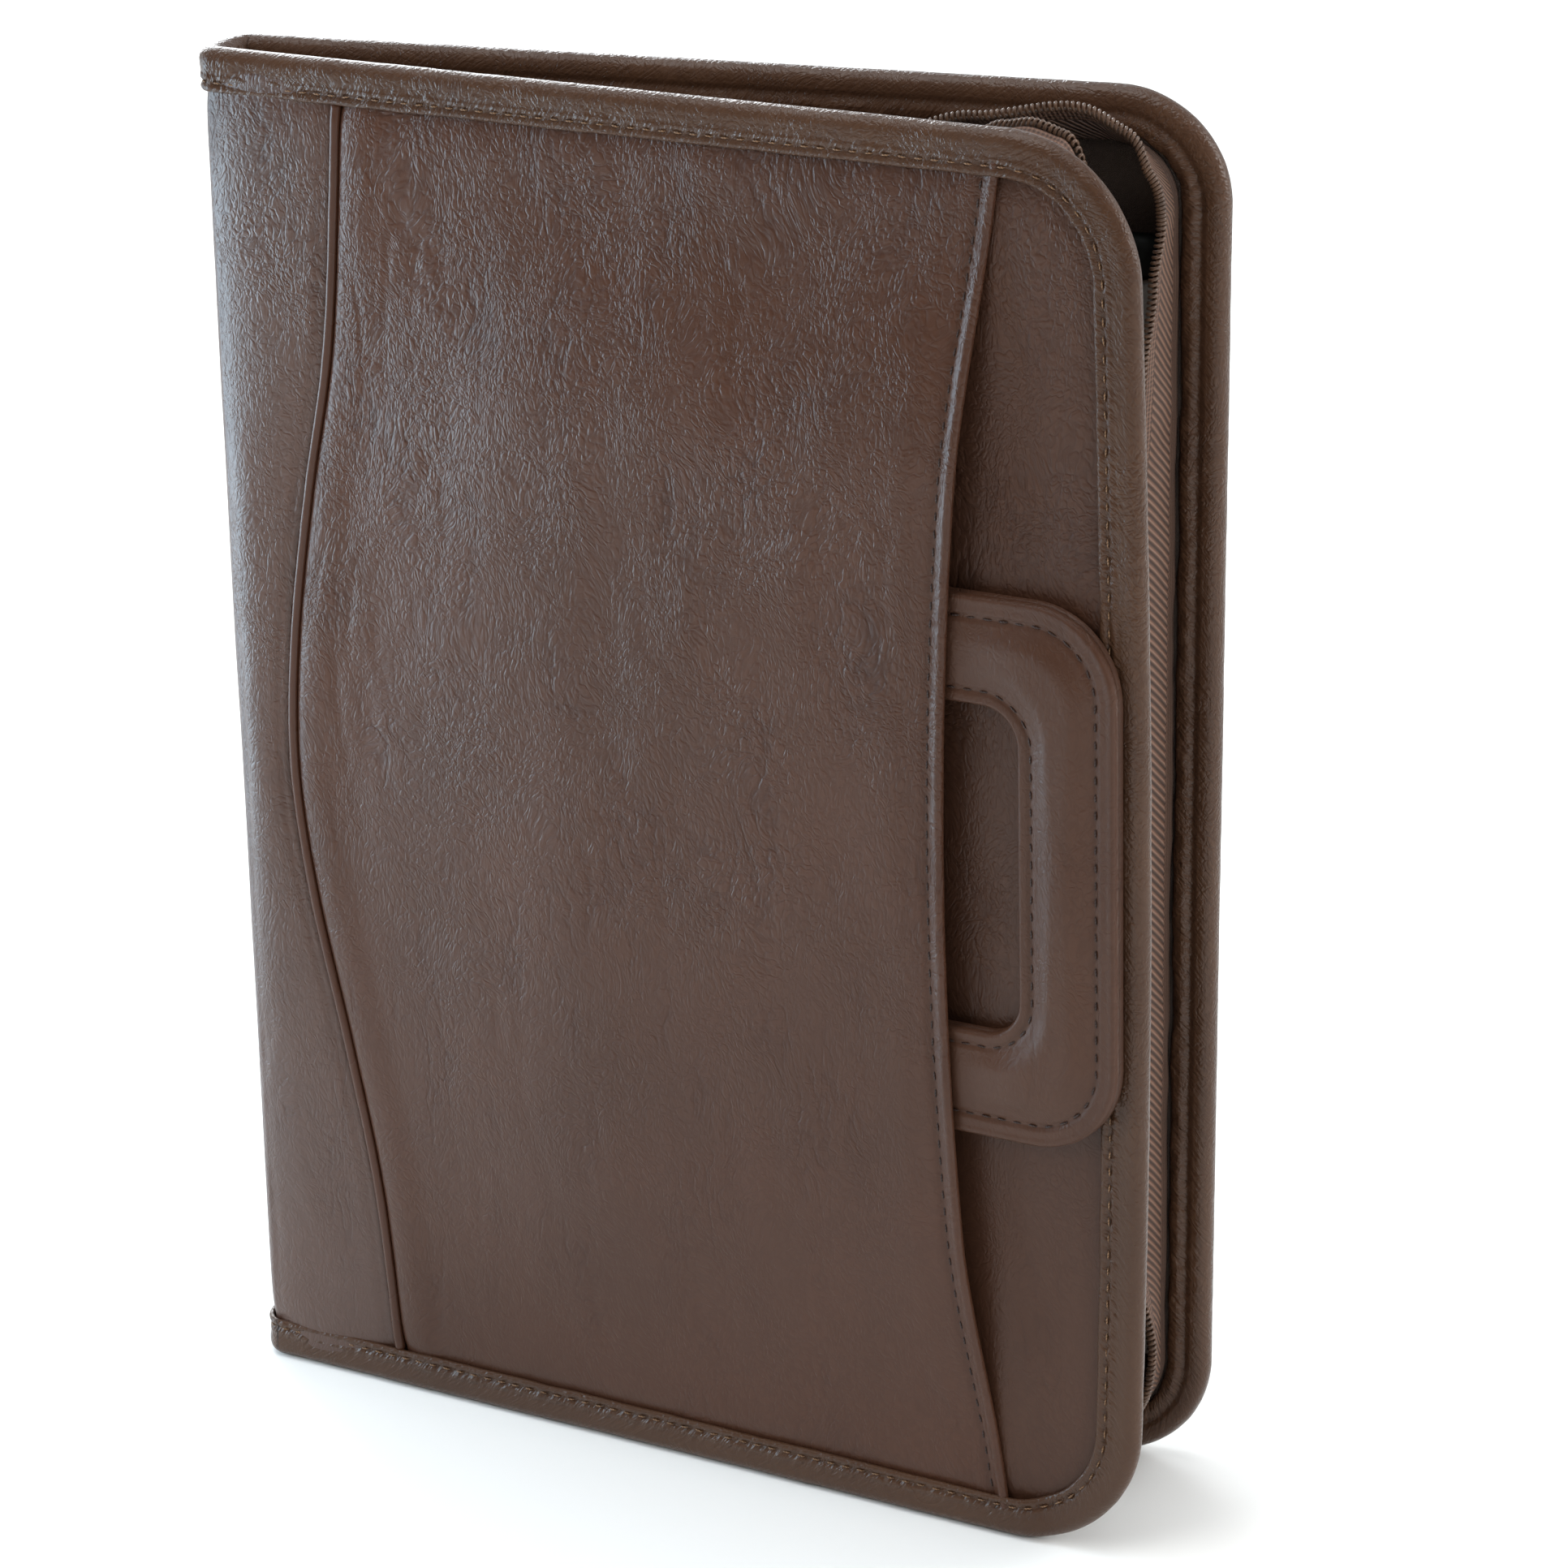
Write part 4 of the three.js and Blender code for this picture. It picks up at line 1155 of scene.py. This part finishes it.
def zip_tape(side, tape):
    # The centre line across the width, rounded at the bend, then its two faces.
    way = tape.edge.way
    t = np.linspace(0, 1, 15)[None, :, None]
    sewn, bend, free = (x[:, None] for x in (tape.sewn, tape.bend, tape.free))
    curved = sewn * (1 - t) ** 2 + 2 * bend * t * (1 - t) + free * t**2
    to_bend = sewn + (bend - sewn) * t / 0.3
    from_bend = bend + (free - bend) * (t - 0.3) / 0.7
    line = 0.45 * curved + 0.55 * np.where(t < 0.3, to_bend, from_bend)
    line[..., 0] += 0.25 * noise(way[:, None] / 9, t[0, :, 0][None, :] * 2.0, 91)
    heading = unit(np.gradient(line, axis=1))
    beside = np.stack([-heading[..., 1], heading[..., 0]], -1)
    outline = np.concatenate([line + beside * TAPE_HALF, (line - beside * TAPE_HALF)[:, ::-1]], 1)
    rings = from_edge(tape.edge, outline[..., 0], outline[..., 1])
    mesh = loft_mesh(f"zip_tape_{side}_cloth", rings, False)
    made = piece(mesh, tape_cloth, [f"zip_tape_{side}"])
    woven = np.zeros(rings.shape)
    woven[..., 0] = way[:, None]
    woven[..., 1] = TAPE_WIDTH * (1 - np.concatenate([t[0, :, 0], t[0, ::-1, 0]]))
    ends = woven[[0, -1]].mean(1)
    tell(made, "woven", np.concatenate([woven.reshape(-1, 3), ends]))


def zip_coil(side, tape):
    """One thread wound on and on round the tape's free edge, squeezed towards it."""
    way = tape.edge.way
    turns = int((way[-1] - way[0]) / COIL_PITCH)
    at = np.linspace(way[0], way[-1], turns * COIL_STEPS + 1)
    phase = np.linspace(0, 2 * math.pi * turns, len(at))[:, None]

    def smooth(values):
        return np.interp(at, way, values)

    edge = Edge(tape.edge.cover, *(smooth(x) for x in tape.edge[1:]))
    centre = np.stack([smooth(tape.coil[:, 0]), smooth(tape.coil[:, 1])], -1)
    aim = unit(np.stack([smooth(tape.run[:, 0]), smooth(tape.run[:, 1])], -1))
    flat = np.stack([-aim[:, 1], aim[:, 0]], -1)
    spot = centre + aim * (COIL_TURN * np.cos(phase)) + flat * (COIL_TURN * np.sin(phase))
    path = from_edge(edge, spot[:, 0], spot[:, 1])
    tangent = unit(np.gradient(path, axis=0))
    outward = path - from_edge(edge, centre[:, 0], centre[:, 1])
    outward = unit(outward - tangent * (outward * tangent).sum(1)[:, None])
    third = np.cross(tangent, outward)
    around = np.linspace(0, 2 * math.pi, 5, endpoint=False)[None, :, None]
    ring = outward[:, None] * np.cos(around) + third[:, None] * np.sin(around)
    mesh = loft_mesh(f"zip_coil_{side}_wound", path[:, None] + COIL_WIRE * ring, False)
    piece(mesh, coil_nylon, [f"zip_coil_{side}"])


# The handle


def rounded_outline(low_s, low_z, high_s, high_z, fore, rear, straight=34, turn=16):
    """Stations round a rectangle with two radii, in the same order whatever its size."""
    points, normals = [], []

    def line(a, b, normal):
        for t in np.linspace(0, 1, straight, endpoint=False):
            points.append((a[0] + (b[0] - a[0]) * t, a[1] + (b[1] - a[1]) * t))
            normals.append(normal)

    def arc(centre, radius, start):
        for t in np.linspace(0, 1, turn, endpoint=False):
            angle = math.radians(start + 90 * t)
            points.append((centre[0] + radius * math.cos(angle), centre[1] + radius * math.sin(angle)))
            normals.append((math.cos(angle), math.sin(angle)))

    line((low_s + rear, low_z), (high_s - fore, low_z), (0, -1))
    arc((high_s - fore, low_z + fore), fore, -90)
    line((high_s, low_z + fore), (high_s, high_z - fore), (1, 0))
    arc((high_s - fore, high_z - fore), fore, 0)
    line((high_s - fore, high_z), (low_s + rear, high_z), (0, 1))
    arc((low_s + rear, high_z - rear), rear, 90)
    line((low_s, high_z - rear), (low_s, low_z + rear), (-1, 0))
    arc((low_s + rear, low_z + rear), rear, 180)
    return np.array(points), np.array(normals)


HANDLE_LAYERS = {
    # level of the underside, height to the rim's face, rise of the padding over the rim
    "back": (0.6, 1.7, 0.0),
    "face": (2.65, 2.3, 2.0),
}


def handle_outlines():
    """The handle's outer outline and its finger slot's, station by station, each with the way out of it."""
    half = HANDLE_HEIGHT / 2
    fore = HANDLE_REAR + HANDLE_DEPTH
    outer = rounded_outline(HANDLE_REAR, -half, fore, half, HANDLE_CORNER, HANDLE_INNER_CORNER)
    slot_low, slot_high = -half + HANDLE_LEG, half - HANDLE_LEG
    slot_rear, slot_fore = HANDLE_REAR + HANDLE_INNER_BAR, fore - HANDLE_GRIP
    slot = rounded_outline(slot_rear, slot_low, slot_fore, slot_high, SLOT_CORNER, HANDLE_INNER_CORNER)
    return outer, slot


def handle_layer(name, material):
    floor, thick, padding = HANDLE_LAYERS[name]
    (outer, outer_way), (slot, slot_way) = handle_outlines()
    # True distances in from the two outlines near them, and even steps between.
    near_outer = np.linspace(0, HANDLE_RIM + 2, 19)
    near_slot = np.linspace(SLOT_RIM + 2, 0, 15)
    start = outer - outer_way * near_outer[-1]
    end = slot + slot_way * near_slot[0]
    gap = np.linalg.norm(end - start, axis=1)
    between = np.linspace(0, 1, 16)[1:-1, None]
    by_outer = outer - outer_way * near_outer[:, None, None]
    by_slot = slot + slot_way * near_slot[:, None, None]
    places = np.concatenate([by_outer, start + (end - start) * between[..., None], by_slot])
    last_rows = near_outer[-1] + gap + near_slot[0] - near_slot[:, None]
    first_rows = near_outer[:, None] * np.ones(len(gap))
    from_outer = np.concatenate([first_rows, near_outer[-1] + between * gap, last_rows])
    from_slot = near_outer[-1] + gap + near_slot[0] - from_outer
    s, z = places[..., 0], places[..., 1]
    edge = np.clip(np.minimum(from_outer, from_slot) / HANDLE_BEAD, 0, 1)
    rounding = np.sqrt(1 - (1 - edge) ** 2)
    top = thick * (0.35 + 0.65 * rounding)
    top += 0.18 * bump(from_outer - 1.3, 1.2) + 0.12 * bump(from_slot - 1.2, 1.1)
    if padding:
        swell = eased((from_outer - HANDLE_RIM) / 8) * eased((from_slot - SLOT_RIM) / 7)
        grip = eased((s - HANDLE_REAR - HANDLE_DEPTH + 44) / 22)
        way = np.cumsum(np.linalg.norm(np.diff(outer, axis=0, append=outer[:1]), axis=1))[None]
        pull = 1 + 0.3 * np.cos(2 * math.pi * way / STITCH_PITCH)
        top -= 0.5 * pull * bump(from_outer - HANDLE_RIM, 1.4) + 0.45 * bump(from_slot - SLOT_RIM, 1.3)
        top += (0.35 + (padding - 0.35) * grip) * swell
        puckers = noise(way / 2.2 + 0.5 * from_outer, from_outer / 5, 73)
        top += 0.14 * puckers * bump(from_outer - HANDLE_RIM - 1.6, 3.2)
        top += (0.14 * noise(s / 14, z / 17, 71) + 0.07 * noise(s / 5, z / 6, 72)) * swell
    under = floor + 0.35 * thick * (1 - rounding)
    upper = on_front(s, z + HANDLE_MIDDLE, floor + top)
    lower = on_front(s, z + HANDLE_MIDDLE, under)
    # The solid's plate is straight, so the cover's bow is taken out again.
    upper[..., 0] = s
    lower[..., 0] = s
    rings = np.swapaxes(np.concatenate([upper, lower[::-1]]), 0, 1)
    skin = loft_mesh(f"handle_{name}_leather", rings, True)
    made = piece(skin, material, [f"handle_{name}"], "handle")


def handle_stitches():
    floor, thick, _ = HANDLE_LAYERS["face"]
    (outer, outer_way), (slot, slot_way) = handle_outlines()
    rows = []
    for points, seed in ((outer - outer_way * HANDLE_RIM, 81), (slot + slot_way * SLOT_RIM, 82)):
        depth = np.full(len(points), -SPINE_RADIUS - floor - thick + 0.36)
        path = np.stack([points[:, 0], depth, points[:, 1] + HANDLE_MIDDLE], -1)
        path = np.concatenate([path, path[:1]])
        rows.append(stitch_row(path, facing(path), 2.5, 0.26, seed))
    stitch_piece("handle_stitches", rows, shaded_thread, "handle")


# The writing pad


def pad_grid(low, high, rows):
    s = np.linspace(PAD_START, PAD_START + PAD_WIDTH, 40)[:, None] * np.ones((1, rows))
    return s, np.ones((40, 1)) * np.linspace(low, high, rows)[None, :]


def pad():
    """The pad's curling sheets and the band over their top."""
    s, z = pad_grid(PAD_LOW, PAD_HIGH, 60)
    curl = 0.35 * noise(s / 60, z / 70, 15) * eased((PAD_HIGH - z) / 60)
    near = on_back(s, z, PAD_FACE - SPINE_RADIUS + 0.2 + curl)
    far = on_back(s, z, PAD_FACE - SPINE_RADIUS + PAD_THICK)
    made = piece(wall_mesh("pad_sheets_paper", near, far), pad_paper, ["pad_sheets"])
    made.data.polygons.foreach_set("use_smooth", np.zeros(len(made.data.polygons), bool))
    s, z = pad_grid(PAD_HIGH + 0.3, PAD_HIGH + 10.1, 9)
    rounded = 1.2 * eased((z - PAD_HIGH - 7.5) / 2.6)
    near = on_back(s, z, PAD_FACE - 0.3 - SPINE_RADIUS + rounded)
    far = on_back(s, z, PAD_FACE - SPINE_RADIUS + PAD_THICK)
    piece(wall_mesh("pad_header_band", near, far), header_card, ["pad_header"])


# The setting

FLOOR_HALF = 6.0
# The sky's strength in front of the object and behind it
SKY_FRONT = 0.15
SKY_BACK = 0.9

LIGHTS = [
    # name, place, aim, width, height, watts, colour, whether it shows in sheen
    ("left_window", (-0.68, -0.2, 0.22), (0, 0, 0.2), 0.35, 0.5, 4.4, (0.6, 0.82, 1.0), True),
    ("window_behind", (-2.2, 2.1, 1.1), (0, 0, 0.2), 1.4, 1.2, 46, (0.93, 0.97, 1.0), True),
    ("top_box", (-0.2, -0.2, 2.5), (0, 0, 0.2), 2.2, 1.8, 36, (1.0, 1.0, 1.0), True),
    ("rim_box", (1.7, 1.3, 1.0), (0.1, 0, 0.2), 0.7, 1.4, 20, (1.0, 0.99, 0.97), True),
    ("front_fill", (-1.4, -2.2, 1.7), (0, 0, 0.1), 2.0, 1.4, 37, (1.0, 0.99, 0.97), False),
    ("right_fill", (1.8, -0.45, 0.8), (0, 0, 0.2), 1.0, 1.0, 11, (1.0, 0.99, 0.97), False),
    ("edge_fill", (0.75, -0.14, 0.3), (0.12, 0.02, 0.18), 0.1, 0.5, 0.9, (1.0, 0.98, 0.95), False),
]


def setting():
    half = FLOOR_HALF
    corners = [(-half, -half, 0), (half, -half, 0), (half, half, 0), (-half, half, 0)]
    mesh = bpy.data.meshes.new("floor")
    mesh.from_pydata(corners, [], [(0, 1, 2, 3)])
    n = Nodes("floor_white")
    n.shader.inputs["Base Color"].default_value = (0.92, 0.93, 0.92, 1)
    n.shader.inputs["Roughness"].default_value = 0.7
    n.shader.inputs["Specular IOR Level"].default_value = 0.2
    mesh.materials.append(n.material)
    linked("floor", mesh)
    world = bpy.data.worlds.new("studio")
    bpy.context.scene.world = world
    world.use_nodes = True
    tree = world.node_tree
    sky = tree.nodes["Background"]
    way = tree.nodes.new("ShaderNodeTexCoord")
    parts = tree.nodes.new("ShaderNodeSeparateXYZ")
    tree.links.new(way.outputs["Generated"], parts.inputs[0])
    strength = tree.nodes.new("ShaderNodeMapRange")
    for key, value in {"From Min": -0.6, "From Max": 0.8, "To Min": SKY_FRONT, "To Max": SKY_BACK}.items():
        strength.inputs[key].default_value = value
    tree.links.new(parts.outputs[1], strength.inputs["Value"])
    tree.links.new(strength.outputs[0], sky.inputs["Strength"])
    sky.inputs["Color"].default_value = (0.94, 0.97, 1.0, 1)
    bpy.context.scene.view_settings.view_transform = "Standard"


def lights():
    for name, place, aim, width, height, watts, colour, sheen in LIGHTS:
        data = bpy.data.lights.new(name, "AREA")
        data.shape = "RECTANGLE"
        data.size, data.size_y = width, height
        data.energy = watts
        data.color = colour
        lamp = linked(name, data)
        lamp.location = place
        lamp.rotation_mode = "QUATERNION"
        lamp.rotation_quaternion = (Vector(aim) - Vector(place)).to_track_quat("-Z", "Y")
        lamp.visible_camera = False
        lamp.visible_glossy = sheen


def dress_cad_nodes():
    """The slider is a hard piece that keeps its solid and only gets its metal."""
    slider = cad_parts["zip_slider"]
    slider.data.materials.clear()
    slider.data.materials.append(slider_metal)


case_shell()
front_panel()
front_pocket()
seam_piping()
binding()
lining()
for side, cover, rows in (("front", FRONT, FRONT_TAPE_ROWS), ("back", BACK, BACK_TAPE_ROWS)):
    cuts = tape_cuts(cover, rows)
    zip_tape(side, cuts)
    zip_coil(side, cuts)
handle_layer("back", handle_leather)
handle_layer("face", handle_leather)
handle_stitches()
pad()
dress_cad_nodes()
setting()
lights()
